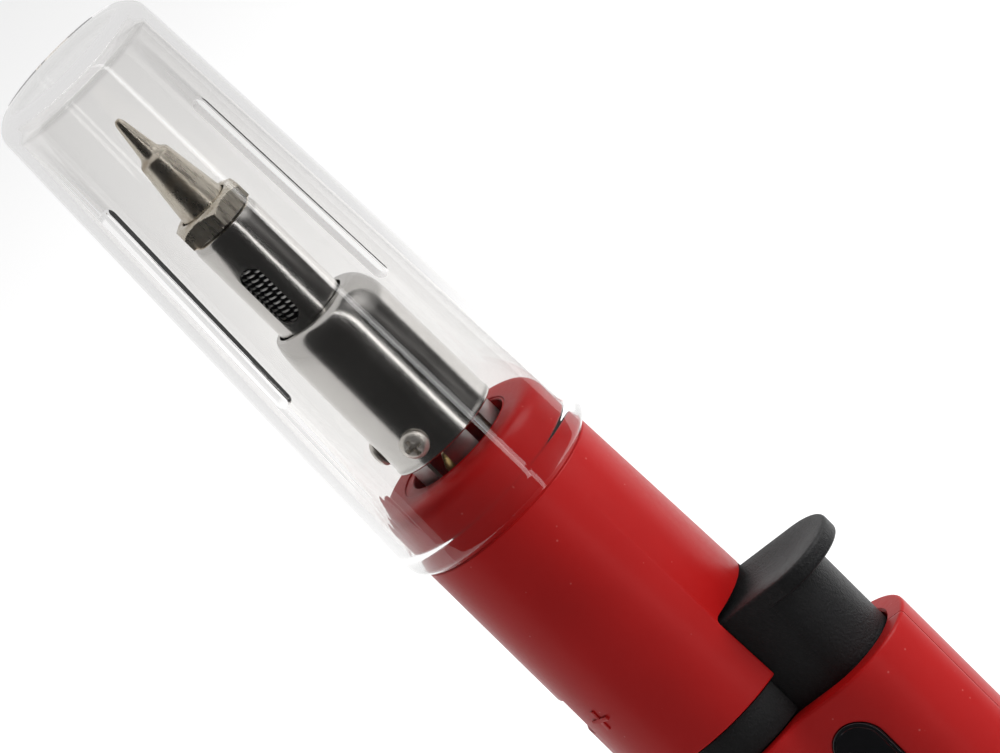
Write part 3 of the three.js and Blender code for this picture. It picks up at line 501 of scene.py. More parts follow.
def polished_steel():
    finish = Finish("polished_steel", (0.56, 0.55, 0.53), 0.14, 1.0)
    draw = finish.noise(1400, 3, (1, 1, 0.06))
    pit = finish.cells(650).above(0.07, 0.03)
    blotch = finish.noise(160, 4)
    plain = finish.mix(blotch, (0.56, 0.545, 0.52), (0.74, 0.725, 0.7))
    finish.set("Base Color", finish.mix(pit * 0.6, plain, (0.2, 0.18, 0.16)))
    finish.set("Roughness", 0.11 + 0.12 * draw + 0.06 * blotch)
    return finish.bump(0.5 * draw + 0.5 * (1 - pit), 0.000012, 0.5).material


def plain_steel():
    dark, light = (0.38, 0.37, 0.36), (0.6, 0.6, 0.59)
    return clouded("plain_steel", dark, light, (500, 4), (0.24, 0.2, 500, 4), (0.00002, 0.5, 3500, 3), 1.0)


def screw_steel():
    dark, light = (0.62, 0.58, 0.52), (0.86, 0.83, 0.78)
    return clouded("screw_steel", dark, light, (2200, 3), (0.24, 0.2, 2200, 3), (0.00001, 0.4, 2200, 3), 0.75)


def nickel():
    finish = Finish("nickel", (0.66, 0.62, 0.55), 0.2, 1.0)
    streak = finish.noise(2400, 3, (1, 1, 0.12))
    speck = finish.cells(1500).above(0.1, 0.04)
    stain = finish.noise(330, 3).above(0.52, 0.75)
    plain = finish.mix(streak, (0.5, 0.45, 0.37), (0.78, 0.73, 0.64))
    worn = finish.mix(0.75 * stain, plain, (0.36, 0.29, 0.21))
    finish.set("Base Color", finish.mix(0.7 * speck, worn, (0.1, 0.08, 0.06)))
    finish.set("Roughness", 0.2 + 0.16 * streak + 0.12 * stain)
    return finish.bump(0.6 * streak + 0.4 * finish.noise(5000, 2), 0.000006, 0.4).material


def turned_brass():
    finish = Finish("turned_brass", (0.66, 0.47, 0.2), 0.28, 1.0)
    rings = finish.noise(3000, 2, (0.05, 0.05, 1))
    finish.set("Base Color", finish.mix(finish.noise(300, 4), (0.55, 0.38, 0.15), (0.74, 0.55, 0.26)))
    finish.set("Roughness", 0.2 + 0.2 * rings)
    return finish.bump(rings, 0.00002, 0.5).material


def catalyst_wire(axis_x, radius):
    """Wire that is bright where it faces out and near-black further in: soot, with painted shade towards the
    gauze's inside and painted light on the outer loops; axis and radius in millimetres.
    """
    finish = Finish("catalyst_wire", (0.8, 0.79, 0.78), 0.3, 0.25)
    soot = finish.noise(1500, 3)
    x, y = (Number(finish, socket) for socket in finish.apart()[:2])
    outward = ((x - axis_x * MM) ** 2 + y ** 2) ** 0.5
    # Painted shade and painted light: the wire darkens towards the gauze's inside and is lightest on its
    # outer face, on top of real soot.
    lit_and_clean = outward.above((radius - 0.4) * MM, (radius - 0.1) * MM)
    finish.set("Base Color", finish.mix(lit_and_clean * (0.6 + 0.4 * soot), (0.01, 0.01, 0.01), (0.95, 0.94, 0.93)))
    finish.set("Roughness", 0.25 + 0.2 * soot)
    return finish.bump(finish.noise(6000, 2), 0.00002, 0.4).material


FINISHES = {
    "clear_cap": clear_plastic(),
    "red_shell": red_plastic(),
    "black_plastic": black_plastic(),
    "gloss_black": gloss_black(),
    "polished_steel": polished_steel(),
    "plain_steel": plain_steel(),
    "nickel": nickel(),
    "brass": turned_brass(),
    "ceramic": white_ceramic(),
    "rubber": black_rubber(),
    "nylon": pale_nylon(),
    "tank_plastic": smoked_plastic(),
}
slot_of = {row["node"]: row["material_slot"] for row in record["subparts"]}
print("finishes:", sorted(FINISHES))


def settle(piece, *nodes, slot=None, material=None):
    """Gives a piece its finish and its body, and hides the CAD nodes that it stands for."""
    slot = slot or slot_of[nodes[0]]
    piece.data.materials.clear()
    piece.data.materials.append(material or FINISHES[slot])
    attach(piece, body_of[nodes[0]])
    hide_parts(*nodes)
    print(piece.name, "faces:", len(piece.data.polygons))
    return piece


# %% [markdown]
# ## The clear cap
# The cap is one turned wall that widens towards its mouth, with a rolled rim and a thick flat end. Two
# long vent slots let the hot tip breathe. The walls are cut right through, because clear plastic shows
# both faces.

# %% Cap
cap_low, cap_high = box_mm("cap")
CAP_RIM_RADIUS = (cap_high[1] - cap_low[1]) / 2
CAP_END_RADIUS = 11.55
CAP_WALL = 1.3
CAP_END_WALL = 1.6
CAP_MOUTH_RADIUS = CAP_RIM_RADIUS - 1.6
VENTS = ((-114, 14.9), (70, 15.9))    # each vent's turn, and its distance from the closed end
VENT_LENGTH = 32
VENT_WIDTH = 2.2
rim_z, end_z = cap_low[2], cap_high[2]
cap = turned("cap", [
    (0, end_z),
    (CAP_END_RADIUS - 3.5, end_z),
    (CAP_END_RADIUS - 1.9, end_z, 1.2),
    (CAP_END_RADIUS, end_z - 1.5, 1.1),
    (CAP_RIM_RADIUS, rim_z + 3, 0.8),
    (CAP_RIM_RADIUS - 0.3, rim_z + 0.9, 0.9),
    (CAP_RIM_RADIUS - 1.3, rim_z, 0.35),
    (CAP_MOUTH_RADIUS, rim_z, 0.3),
    (CAP_MOUTH_RADIUS, rim_z + 3.0, 0.2),
    (CAP_RIM_RADIUS - CAP_WALL, rim_z + 3.6, 0.4),
    (CAP_END_RADIUS - CAP_WALL, end_z - 2.6, 0.8),
    (CAP_END_RADIUS - CAP_WALL - 1.1, end_z - CAP_END_WALL, 0.6),
    (CAP_END_RADIUS - CAP_WALL - 2.2, end_z - CAP_END_WALL),
    (0, end_z - CAP_END_WALL),
], count=320)
for turn, from_end in VENTS:
    middle = end_z - from_end - VENT_LENGTH / 2
    vent = prism("vent", pill(VENT_WIDTH, VENT_LENGTH), outward_at(turn, middle), 7, 17)
    combine(cap, vent)
soften_edges(cap, 0.16, 50)
settle(smooth(cap, 40), "cap")

# %% [markdown]
# ## The soldering tip and its nut
# The tip is turned: a fine point, a flared shoulder and a long cone. The nut is a hexagon whose top
# corners are turned off by a chamfer. Taking the smaller of a hexagon's radius and a cone's radius at
# each angle gives the curved chamfer lines that a real nut has, with no boolean.

# %% Soldering tip
tip_low, tip_high = box_mm("soldering_tip")
nut_low, nut_high = box_mm("tip_nut")
BURNER_X = (tip_low[0] + tip_high[0]) / 2
nut_top, point_z = nut_high[2], tip_high[2]
flange = (tip_high[0] - tip_low[0]) / 2
tip = turned("soldering_tip", [
    (0, tip_low[2]),
    (2.5, tip_low[2], 0.2),
    (2.6, nut_low[2] + 1.1),
    (flange, nut_low[2] + 1.1, 0.1),
    (flange, nut_low[2] + 1.6, 0.1),
    (3.1, nut_low[2] + 1.65),
    (3.15, nut_top, 0.1),
    (2.2, point_z - 6.9, 0.5),
    (2.12, point_z - 6.3, 0.25),
    (1.35, point_z - 5.6, 0.5),
    (0.6, point_z - 0.5, 0.3),
    (0.32, point_z, 0.2),
    (0, point_z),
], BURNER_X, count=96)
settle(smooth(tip), "soldering_tip")

# %% Tip nut
NUT_FLATS = nut_high[1] - nut_low[1]
NUT_BORE = 3.4
LIP = 0.9
SEAT_BORE = 4.1                   # the wide bore below the lip
CHAMFER = 0.75
angles = np.arange(FINE_ROUND) * 2 * math.pi / FINE_ROUND
to_flat = (angles + math.pi / 6) % (math.pi / 3) - math.pi / 6
hexagon = NUT_FLATS / 2 / np.cos(to_flat)
corner = NUT_FLATS / 2 / math.cos(math.pi / 6)


def nut_ring(z, limit):
    """The hexagon's outline, turned down to a limit radius."""
    radius = np.minimum(hexagon, limit)
    turn = angles + math.pi / 2
    x, y = BURNER_X + radius * np.cos(turn), radius * np.sin(turn)
    return np.stack([x, y, np.full(FINE_ROUND, z)], axis=1)


nut_rings = [nut_ring(nut_low[2], corner - 0.35), nut_ring(nut_low[2] + 0.2, corner)]
for share in np.linspace(0, 1, 8):
    nut_rings.append(nut_ring(nut_top - 1.0 + CHAMFER * share, corner - CHAMFER * share ** 1.6))
nut_rings += [nut_ring(nut_top - 0.15, corner - 1.0), nut_ring(nut_top, corner - 1.2)]
for radius, z in ((NUT_BORE + 0.1, nut_top), (NUT_BORE, nut_top - 0.1), (NUT_BORE, nut_top - LIP),
                  (SEAT_BORE, nut_top - LIP), (SEAT_BORE, nut_low[2])):
    nut_rings.append(nut_ring(z, radius))
nut = skin("tip_nut", nut_rings, loop=True)
settle(smooth(nut, 28), "tip_nut")

# %% [markdown]
# ## The barrel and the heat shield
# The barrel is drawn tube with its top edge rolled in. The heat shield is wider and off-centre: it leaves
# room for the spark electrode on the trigger side. Its rings keep a round section while their centre
# drifts onto the barrel's axis as they dome in, which is what a pressed eccentric dome does.

# %% Barrel
barrel_low, barrel_high = box_mm("barrel_tube")
BARREL_RADIUS = (barrel_high[0] - barrel_low[0]) / 2
neck_top = barrel_high[2]
barrel_top = neck_top - 1.0
BARREL_WALL = 0.6
NECK_RADIUS = 3.85
NECK_BORE = 2.95
barrel_in = BARREL_RADIUS - BARREL_WALL
barrel = turned("barrel_tube", [
    (barrel_in, barrel_low[2], 0.1),
    (BARREL_RADIUS, barrel_low[2], 0.1),
    (BARREL_RADIUS, barrel_top - 0.9, 0.5),
    (BARREL_RADIUS - 0.25, barrel_top, 0.6),
    (NECK_RADIUS, barrel_top, 0.1),
    (NECK_RADIUS, neck_top, 0.1),
    (NECK_BORE, neck_top, 0.1),
    (NECK_BORE, barrel_top - 0.8),
    (barrel_in, barrel_top - 1.6),
], BURNER_X, count=FINE_ROUND)
WINDOW_LENGTH = 8.7
WINDOW_WIDTH = 3.0
WINDOW_BELOW_TOP = 5.2
window_z = barrel_top - WINDOW_BELOW_TOP - WINDOW_LENGTH / 2
window = prism("window", pill(WINDOW_WIDTH, WINDOW_LENGTH), outward_at(-90, window_z, BURNER_X), 2, 8)
combine(barrel, window)
soften_edges(barrel, 0.14, 50)
settle(smooth(barrel), "barrel_tube")

# %% Heat shield
shield_low, shield_high = box_mm("heat_shield")
SHIELD_X = (shield_low[0] + shield_high[0]) / 2
SHIELD_RIM_RADIUS = (shield_high[0] - shield_low[0]) / 2
SHIELD_RADIUS = SHIELD_RIM_RADIUS - 0.25
SHIELD_WALL = 0.5
DOME = 4.4
dome_z = shield_high[2] - DOME
collar = BARREL_RADIUS + 0.3


def dome_row(share, inset):
    """A ring of the dome, share 0 at its foot and 1 at the barrel."""
    lean = math.sqrt(1 - min(share, 1) ** 2)
    radius = (collar + SHIELD_WALL) * (1 - lean) + SHIELD_RADIUS * lean - inset
    centre = BURNER_X * (1 - lean) + SHIELD_X * lean
    return circle(radius, dome_z + (DOME - inset) * share, centre, FINE_ROUND)


rim = shield_low[2]
rings = [circle(radius, z, SHIELD_X, FINE_ROUND) for radius, z in softened([
    (SHIELD_RADIUS - SHIELD_WALL, dome_z),
    (SHIELD_RIM_RADIUS - 0.55, rim + 0.5, 0.2),
    (SHIELD_RIM_RADIUS - 0.5, rim, 0.2),
    (SHIELD_RIM_RADIUS - 0.05, rim, 0.2),
    (SHIELD_RIM_RADIUS, rim + 0.35, 0.25),
    (SHIELD_RIM_RADIUS - 0.12, rim + 0.8, 0.3),
    (SHIELD_RADIUS, dome_z),
])]
shares = np.sin(np.linspace(0, math.pi / 2, 26))[1:]
rings += [dome_row(share, 0) for share in shares]
rings.append(circle(collar, shield_high[2], BURNER_X, FINE_ROUND))
rings.append(circle(collar, shield_high[2] - 0.45, BURNER_X, FINE_ROUND))
rings += [dome_row(share, SHIELD_WALL) for share in shares[-2:0:-3]]
shield = skin("heat_shield", rings, loop=True)
settle(smooth(shield), "heat_shield")

# %% [markdown]
# ## The mixing tube
# Air is drawn in through slots in this tube, just under the shield. Only a strip of it shows between the
# shield and the red nose, but that strip is what tells the eye how deep the recess is, so the slots are
# really cut.

# %% Mixing tube
mix_low, mix_high = box_mm("mixing_tube")
MIX_RADIUS = (mix_high[1] - mix_low[1]) / 2
AIR_SLOTS = 6
AIR_SLOT_WIDTH = 2.9
AIR_SLOT_LENGTH = 14
MIX_WALL = 0.6
FIRST_SLOT_TURN = -32
mixing = turned("mixing_tube", [
    (MIX_RADIUS - MIX_WALL, mix_low[2], 0.1),
    (MIX_RADIUS, mix_low[2], 0.1),
    (MIX_RADIUS, mix_high[2], 0.1),
    (MIX_RADIUS - MIX_WALL, mix_high[2], 0.1),
], SHIELD_X)
for i in range(AIR_SLOTS):
    turn = FIRST_SLOT_TURN + i * 360 / AIR_SLOTS
    slot_outline = rectangle(AIR_SLOT_WIDTH, AIR_SLOT_LENGTH, 0.5)
    cut = prism("air", slot_outline, outward_at(turn, rim - 6.4, SHIELD_X), 4, 9)
    combine(mixing, cut)
settle(smooth(mixing), "mixing_tube")

# %% [markdown]
# ## The front shell
# The red nose is one moulding: a flared body, a step where the cap seats, a big round shoulder, and a
# recess for the burner. Its section drifts towards the trigger, so each row of rings has its own centre.
# The trigger notch, the adjuster slot and the thumb scoop are cut afterwards, and a fine bevel gives the
# cut edges their highlight.

# %% Front shell
front_low, front_high = box_mm("front_shell")
FRONT_REAR_RADIUS = (front_high[1] - front_low[1]) / 2
SHOULDER_RADIUS = FRONT_REAR_RADIUS - 0.7
NOSE_RADIUS = SHOULDER_RADIUS - 0.4
LEAN = 0.7
rear_z = front_low[2]
shoulder_z = rim_z - 0.3
face_z = shoulder_z + 8.7
floor_z = face_z - 4.4
web_z = floor_z - 2.5
WALL = 1.8


def front_centre(z):
    """How far the front shell's section has drifted towards the trigger."""
    return LEAN * min(max((shoulder_z - z) / (shoulder_z - rear_z), 0), 1)


outside = softened([
    (FRONT_REAR_RADIUS - WALL, rear_z, 0.25),
    (FRONT_REAR_RADIUS, rear_z, 0.35),
    (SHOULDER_RADIUS, shoulder_z, 0.25),
    (NOSE_RADIUS, shoulder_z + 0.02, 0.2),
    (NOSE_RADIUS, face_z, 4.6),
    (8.2, face_z, 0.2),
], 8)
recess = softened([(7.42, face_z), (7.3, face_z - 0.12), (7.3, floor_z, 0.4), (3.4, floor_z)], 5)
rings = [circle(radius, z, front_centre(z), 160) for radius, z in outside]
rings += [circle(radius, z, SHIELD_X, 160) for radius, z in recess]
rings += [circle(3.1, z, BURNER_X, 160) for z in (floor_z, web_z)]
rings += [circle(radius, z, front_centre(z), 160) for radius, z in ((10.2, web_z), (10.9, web_z - 1.2))]
front = skin("front_shell", rings, loop=True)
NOTCH_DEPTH = 10
NOTCH_WIDTH = 14.6
ADJUSTER_Z = rear_z + 9.4
notch = prism("notch", rectangle(NOTCH_WIDTH, 2 * NOTCH_DEPTH, 0.9), outward_at(0, rear_z), 4, 30)
combine(front, notch)


def sector(name, low, high, half_angle, inner, outer):
    """A block that spans an angle each side of -X, between two radii and two heights."""
    turn = np.radians(np.linspace(180 - half_angle, 180 + half_angle, 40))
    arc = [(outer * math.cos(a), outer * math.sin(a)) for a in turn]
    arc += [(inner * math.cos(a), inner * math.sin(a)) for a in turn[::-1]]
    return skin(name, [at_height(arc, low), at_height(arc, high)])


SLOT_HALF_ANGLE = 42
combine(front, sector("slot", ADJUSTER_Z - 1.3, ADJUSTER_Z + 1.3, SLOT_HALF_ANGLE, 5, 20))
SCOOP_RADIUS = 2.4
SCOOP_DEPTH = 0.9
scoop_ring = SHOULDER_RADIUS + SCOOP_RADIUS - SCOOP_DEPTH
round_section = [
    (scoop_ring + SCOOP_RADIUS * math.cos(a), ADJUSTER_Z + 2.5 + SCOOP_RADIUS * math.sin(a))
    for a in np.linspace(0, 2 * math.pi, 33)[:-1]
]
scoop = turned("scoop", round_section)
combine(scoop, sector("ends", ADJUSTER_Z - 5, ADJUSTER_Z + 9, SLOT_HALF_ANGLE, 5, 20), "INTERSECT")
combine(front, scoop)
soften_edges(front, 0.22, 34)
settle(smooth(front), "front_shell")

# %% [markdown]
# ## Marks on the front shell
# A raised plus and minus show which way the adjuster gives more gas. They are thin bars that follow the
# shell, standing about a sixth of a millimetre proud, as lettering cut into a mould comes out.

# %% Plus and minus
MARK_TURN = 59
MARK_SIZE = 3.2
MARK_BAR = 0.6
MARK_HEIGHT = 0.16
marks = []
for turn, bars in ((180 + MARK_TURN, (0, 1)), (180 - MARK_TURN, (0,))):
    taper = FRONT_REAR_RADIUS - SHOULDER_RADIUS
    surface = FRONT_REAR_RADIUS - taper * (ADJUSTER_Z - rear_z) / (shoulder_z - rear_z)
    for bar in bars:
        size = (MARK_SIZE, MARK_BAR) if bar == 0 else (MARK_BAR, MARK_SIZE)
        matrix = outward_at(turn, ADJUSTER_Z + 0.6, front_centre(ADJUSTER_Z))
        marks.append(prism("mark", rectangle(*size, 0.15), matrix, surface - 0.35, surface + MARK_HEIGHT))
mark = marks[0]
for other in marks[1:]:
    combine(mark, other, "UNION")
mark.name = "gas_marks"
soften_edges(mark, 0.05)
mark.data.materials.append(FINISHES["red_shell"])
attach(smooth(mark), body_of["front_shell"])

# %% [markdown]
# ## The trigger
# The thumb pushes the fin towards the tail, and the boss behind it slides into the rear shell. Fin and
# boss are stacks of the same tongue outline, pulled in or let out row by row: that gives the fin its
# rounded edge and the shallow dish that the thumb rests in.

# %% Trigger
trigger_low, trigger_high = box_mm("trigger")
HALF = (trigger_high[1] - trigger_low[1]) / 2
FIN_CENTRE = trigger_high[0] - HALF
BOSS_CENTRE = FIN_CENTRE - 3.8
ROOT = BOSS_CENTRE - 8.6
fin_front = trigger_high[2]
fin_back = fin_front - 2.4
boss_low = box_mm("rear_shell_left")[1][2] - 7.4    # the boss ends inside the rear shell
EDGE = 0.75                       # rounding of the fin's rim
BOSS_WALL = 1.8
fin_rows = [(6.6, fin_back), (4, fin_back)]
fin_rows += softened([(EDGE + 0.5, fin_back), (0, fin_back, EDGE), (0, fin_front, EDGE), (1.1, fin_front)], 6)
for share in np.linspace(0, 1, 10)[1:]:
    fin_rows.append((1.1 + 5.5 * share, fin_front - 0.55 * math.sin(share * math.pi / 2) ** 1.5))
fin = skin("trigger", [at_height(tongue(ROOT, FIN_CENTRE, HALF, inset), z) for inset, z in fin_rows])
boss_path = softened([
    (BOSS_WALL, boss_low), (0, boss_low, 0.3), (0, fin_back + 0.6), (BOSS_WALL, fin_back + 0.6),
])
boss = skin("boss", [at_height(tongue(ROOT, BOSS_CENTRE, HALF, inset), z) for inset, z in boss_path])
inside = tongue(ROOT + BOSS_WALL, BOSS_CENTRE, HALF - BOSS_WALL)
combine(boss, skin("hollow", [at_height(inside, z) for z in (boss_low - 1, fin_back - 4)]))
combine(fin, boss, "UNION")
soften_edges(fin, 0.3, 50, 3)
settle(smooth(fin), "trigger")

# %% [markdown]
# ## The rear shell
# The rear shell's section is a circle for the hand joined to a tongue for the igniter, with a soft crease
# between them, and the tongue sinks into the circle towards the tail. Rays from one point inside meet
# that outline once, so each section is found by walking out along the rays to a smooth minimum of the two
# shapes. Half the rays make one half shell: out over the surface, round the lip, and back along the
# inside.

# %% Rear shell sections
shell_low, shell_high = box_mm("rear_shell_left")
REAR_FRONT_RADIUS = shell_high[1]
TAIL_RADIUS = 13.0
HUMP_WALL = 2.7
SLIDE_GAP = 0.3                   # between the trigger's boss and the hump
HUMP_HALF = HALF + SLIDE_GAP + HUMP_WALL
HUMP_LENGTH = 84
HUMP_LEVEL = 36
HUMP_ROOT_X = 2.0
CREASE = 1.3
shell_length = shell_high[2] - shell_low[2]


def smooth_step(value):
    """0 to 1 with level ends."""
    value = np.clip(value, 0, 1)
    return value * value * (3 - 2 * value)


def hump_centre(z):
    """Where the hump's round top is centred at a height."""
    sunk = smooth_step((shell_high[2] - z - HUMP_LEVEL) / (HUMP_LENGTH - HUMP_LEVEL))
    return BOSS_CENTRE + (HUMP_ROOT_X - BOSS_CENTRE) * sunk


def section(z, inset, arch_inset, half_turn):
    """Points of one half of the section at a height, from the hump's ridge round to the -X side."""
    share = (z - shell_low[2]) / shell_length
    radius = TAIL_RADIUS + (REAR_FRONT_RADIUS - TAIL_RADIUS) * share - inset
    middle = LEAN * share
    hump, half = hump_centre(z), HUMP_HALF - arch_inset
    origin = 4.0
    angle = np.linspace(0, math.pi, half_turn)
    ray = np.stack([np.cos(angle), np.sin(angle)], axis=1)
    low, high = np.zeros(half_turn), np.full(half_turn, 40.0)
    for _ in range(34):
        reach = (low + high) / 2
        x, y = origin + ray[:, 0] * reach, ray[:, 1] * reach
        to_circle = np.hypot(x - middle, y) - radius
        along = np.clip(x, HUMP_ROOT_X, hump)
        to_tongue = np.hypot(x - along, y) - half
        gap = np.clip(0.5 + 0.5 * (to_tongue - to_circle) / CREASE, 0, 1)
        joined = to_tongue * (1 - gap) + to_circle * gap - CREASE * gap * (1 - gap)
        low = np.where(joined < 0, reach, low)
        high = np.where(joined < 0, high, reach)
    return origin + ray[:, 0] * low, ray[:, 1] * low


def half_shell(name, side, seam=0.05, half_turn=110):
    """One moulded half, side 1 for +Y and -1 for -Y."""
    top, bottom = shell_high[2], shell_low[2]
    lip = softened([(0, top - 3), (0, top, 1.0), (1.0, top)], 6)[1:-1]
    rows = [(0.25, 0.25, bottom), (0, 0, bottom + 0.25)]
    rows += [(0, 0, z) for z in np.linspace(bottom + 2, top - 2, 60)]
    rows += [(inset, inset, z) for inset, z in lip]
    rows += [(WALL - 0.3, HUMP_WALL - 0.3, top), (WALL, HUMP_WALL, top - 0.3)]
    rows += [(WALL, HUMP_WALL, z) for z in np.linspace(top - 3, bottom + 3, 24)]
    rows += [(WALL, HUMP_WALL, bottom)]
    rings = []
    for inset, arch_inset, z in rows:
        x, y = section(z, inset, arch_inset, half_turn)
        y = np.maximum(y, seam)
        rings.append(np.stack([x, side * y, np.full(half_turn, z)], axis=1))
    return skin(name, rings, wrap=False, loop=True)


left = half_shell("rear_shell_left", 1)
right = half_shell("rear_shell_right", -1)

# %% [markdown]
# ## Screw pockets and the badge seat
# The halves are held by three screws from the +Y side, in counterbores. The badge lies in a shallow seat
# on the hump's flat flank. The places come from the CAD screws and the CAD badge, so the pieces meet
# their seats.

# %% Pockets
POCKET_RADIUS = 2.0
for i in (1, 2, 3):
    screw_low, screw_high = box_mm(f"shell_screw_{i}")
    x, z = (screw_low[0] + screw_high[0]) / 2, (screw_low[2] + screw_high[2]) / 2
    post = turned("post", [(0, 4.2), (2.6, 4.2), (2.6, 9.2), (0, 9.2)], count=48)
    bore = turned("bore", [(0, 5.0), (POCKET_RADIUS, 5.0), (POCKET_RADIUS, 20), (0, 20)], count=48)
    along_y = Matrix.Translation((x * MM, 0, z * MM)) @ Matrix.Rotation(-math.pi / 2, 4, "X")
    for tool in (post, bore):
        tool.data.transform(along_y)
    combine(left, post, "UNION")
    combine(left, bore)
badge_low, badge_high = box_mm("badge")
BADGE_X, BADGE_Z = (badge_low[0] + badge_high[0]) / 2, (badge_low[2] + badge_high[2]) / 2
BADGE_WIDTH, BADGE_LENGTH = badge_high[0] - badge_low[0], badge_high[2] - badge_low[2]
seat_matrix = outward_at(-90, BADGE_Z, BADGE_X)
seat = prism("seat", pill(BADGE_WIDTH + 0.24, BADGE_LENGTH + 0.24), seat_matrix, HUMP_HALF - 0.55, 20)
combine(right, seat)
soften_edges(left, 0.18, 40)
soften_edges(right, 0.18, 40)
settle(smooth(left), "rear_shell_left")
settle(smooth(right), "rear_shell_right")

# %% Badge
badge_rings = []
top_y = -badge_low[1]
for inset, height in softened([(0, top_y - 0.6), (0, top_y, 0.22), (0.5, top_y), (0.62, top_y - 0.08)], 5):
    outline = pill(BADGE_WIDTH - 2 * inset, BADGE_LENGTH - 2 * inset)
    badge_rings.append([tuple(seat_matrix @ Vector((u, v, height))) for u, v in outline])
badge = skin("badge", badge_rings)
settle(smooth(badge, 25), "badge")

# %% [markdown]
# ## Base cap
# The tail ends in a black foot that the torch stands on. It has a chamfered edge and a round well
# off-centre, with the refill valve in it.

# %% Base cap
refill_low, refill_high = box_mm("refill_valve")
REFILL_X = (refill_low[0] + refill_high[0]) / 2
base_top = shell_low[2] - 0.3
spigot = TAIL_RADIUS - WALL - 0.3
base = turned("base_cap", [
    (0, 0),
    (TAIL_RADIUS - 1.9, 0, 0.4),
    (TAIL_RADIUS - 0.4, 1.5, 0.6),
    (TAIL_RADIUS - 0.1, base_top - 2.6, 0.1),
    (TAIL_RADIUS - 0.4, base_top - 2.2, 0.1),
    (TAIL_RADIUS - 0.4, base_top - 1.8, 0.1),
    (TAIL_RADIUS, base_top - 1.4, 0.1),
    (TAIL_RADIUS, base_top, 0.3),
    (spigot, base_top, 0.1),
    (spigot, base_top + 3, 0.3),
    (spigot - 1.3, base_top + 3, 0.2),
    (spigot - 1.3, base_top - 2, 0.4),
    (TAIL_RADIUS - 3.4, 3, 0.5),
    (0, 3),
], count=160)
well = turned("well", [(0, 2), (4.7, 2), (4.7, 7), (0, 7)], REFILL_X)
hole = turned("hole", [(0, -1), (3.2, -1), (3.2, 8), (0, 8)], REFILL_X)
combine(base, well, "UNION")
combine(base, hole)
soften_edges(base, 0.25, 50)
settle(smooth(base), "base_cap")

# %% [markdown]
# ## Wire with Geometry Nodes
# Springs and the catalyst's gauze are wire that follows a rule, so each is a small node tree with its
# sizes as named inputs: one spiral for a spring, and a ring of fine upright spirals for the gauze, whose
# loops show as rows of bright dashes. The result is made a plain mesh, because an exported part can't
# hold instances.

# %% Node tree helper


class Tree:
    """A geometry node tree with named number inputs, built node by node."""

    def __init__(self, name, sizes):
        self.tree = bpy.data.node_groups.new(name, "GeometryNodeTree")
        self.tree.interface.new_socket("Geometry", in_out="INPUT", socket_type="NodeSocketGeometry")
        self.sizes = sizes
        for size, value in sizes.items():
            kind = "NodeSocketInt" if isinstance(value, int) else "NodeSocketFloat"
            self.tree.interface.new_socket(size, in_out="INPUT", socket_type=kind)
        self.tree.interface.new_socket("Geometry", in_out="OUTPUT", socket_type="NodeSocketGeometry")
        self.given = self.tree.nodes.new("NodeGroupInput").outputs

    def node(self, kind, settings=None, values=None):
        made = self.tree.nodes.new(kind)
        for key, value in (settings or {}).items():
            setattr(made, key, value)
        for key, value in (values or {}).items():
            several = value if isinstance(value, list) else [value]
            for item in several:
                if isinstance(item, bpy.types.NodeSocket):
                    self.tree.links.new(item, made.inputs[key])
                else:
                    made.inputs[key].default_value = item
        return made.outputs

    def finish(self, geometry, material):
        """Ends in Realize Instances and Set Material, and returns the tree."""
        real = self.node("GeometryNodeRealizeInstances", None, {0: geometry})[0]
        painted = self.node("GeometryNodeSetMaterial", None, {"Geometry": real, "Material": material})[0]
        self.node("NodeGroupOutput", None, {0: painted})
        return self

    def make(self, name, base=None):
        """Runs the tree on a mesh and returns the result as a plain piece."""
        piece = bpy.data.objects.new(name, base or bpy.data.meshes.new(name))
        bpy.context.scene.collection.objects.link(piece)
        modifier = piece.modifiers.new(name, "NODES")
        modifier.node_group = self.tree
        for item in self.tree.interface.items_tree:
            if item.item_type == "SOCKET" and item.in_out == "INPUT" and item.name in self.sizes:
                modifier[item.identifier] = self.sizes[item.name]
        return apply_modifiers(piece)


def spiral(tree, turns, radius, height, facets=20):
    """A spiral curve from the tree's own sizes."""
    values = {"Resolution": facets, "Rotations": turns, "Start Radius": radius, "End Radius": radius}
    return tree.node("GeometryNodeCurveSpiral", None, {**values, "Height": height})[0]


def wired(tree, curve, wire_radius, sides=8):
    """Round wire along a curve."""
    sizes = {"Resolution": sides, "Radius": wire_radius}
    profile = tree.node("GeometryNodeCurvePrimitiveCircle", None, sizes)[0]
    values = {"Curve": curve, "Profile Curve": profile, "Fill Caps": True}
    return tree.node("GeometryNodeCurveToMesh", None, values)[0]


# %% Springs


def coil_spring(node, wire, turns):
    """A coil spring in the CAD spring's box."""
    low, high = box_mm(node)
    radius = (high[1] - low[1]) / 2 - wire
    height = (high[2] - low[2] - 2 * wire) * MM
    sizes = {"Radius": radius * MM, "Wire": wire * MM, "Height": height, "Turns": turns}
    tree = Tree(node, sizes)
    given = tree.given
    coil = wired(tree, spiral(tree, given["Turns"], given["Radius"], given["Height"]), given["Wire"])
    tree.finish(coil, FINISHES["plain_steel"])
    spring = tree.make(node)
    middle = (low[0] + high[0]) / 2
    spring.data.transform(Matrix.Translation((middle * MM, 0, (low[2] + wire) * MM)))
    return settle(smooth(spring, 60), node)


trigger_spring = coil_spring("trigger_spring", 0.4, 7.0)
valve_spring = coil_spring("valve_spring", 0.3, 3.0)
TRAVEL = {joint["name"]: joint["range_m"][1] for joint in record["behaviour"]["joints"] if "range_m" in joint}


def shorten(piece, node, joint):
    """Gives a piece its own copy of its mesh and prints a slide's travel; the piece is not shortened."""
    ends = [corner.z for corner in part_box(node)]
    length = ends[1] - ends[0]
    keep = (length - TRAVEL[joint]) / length
    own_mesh(piece)
    print(node, "shortens by", round(TRAVEL[joint] / MM, 2), "mm")


shorten(trigger_spring, "trigger_spring", "trigger_slide")
shorten(valve_spring, "valve_spring", "stem_lift")

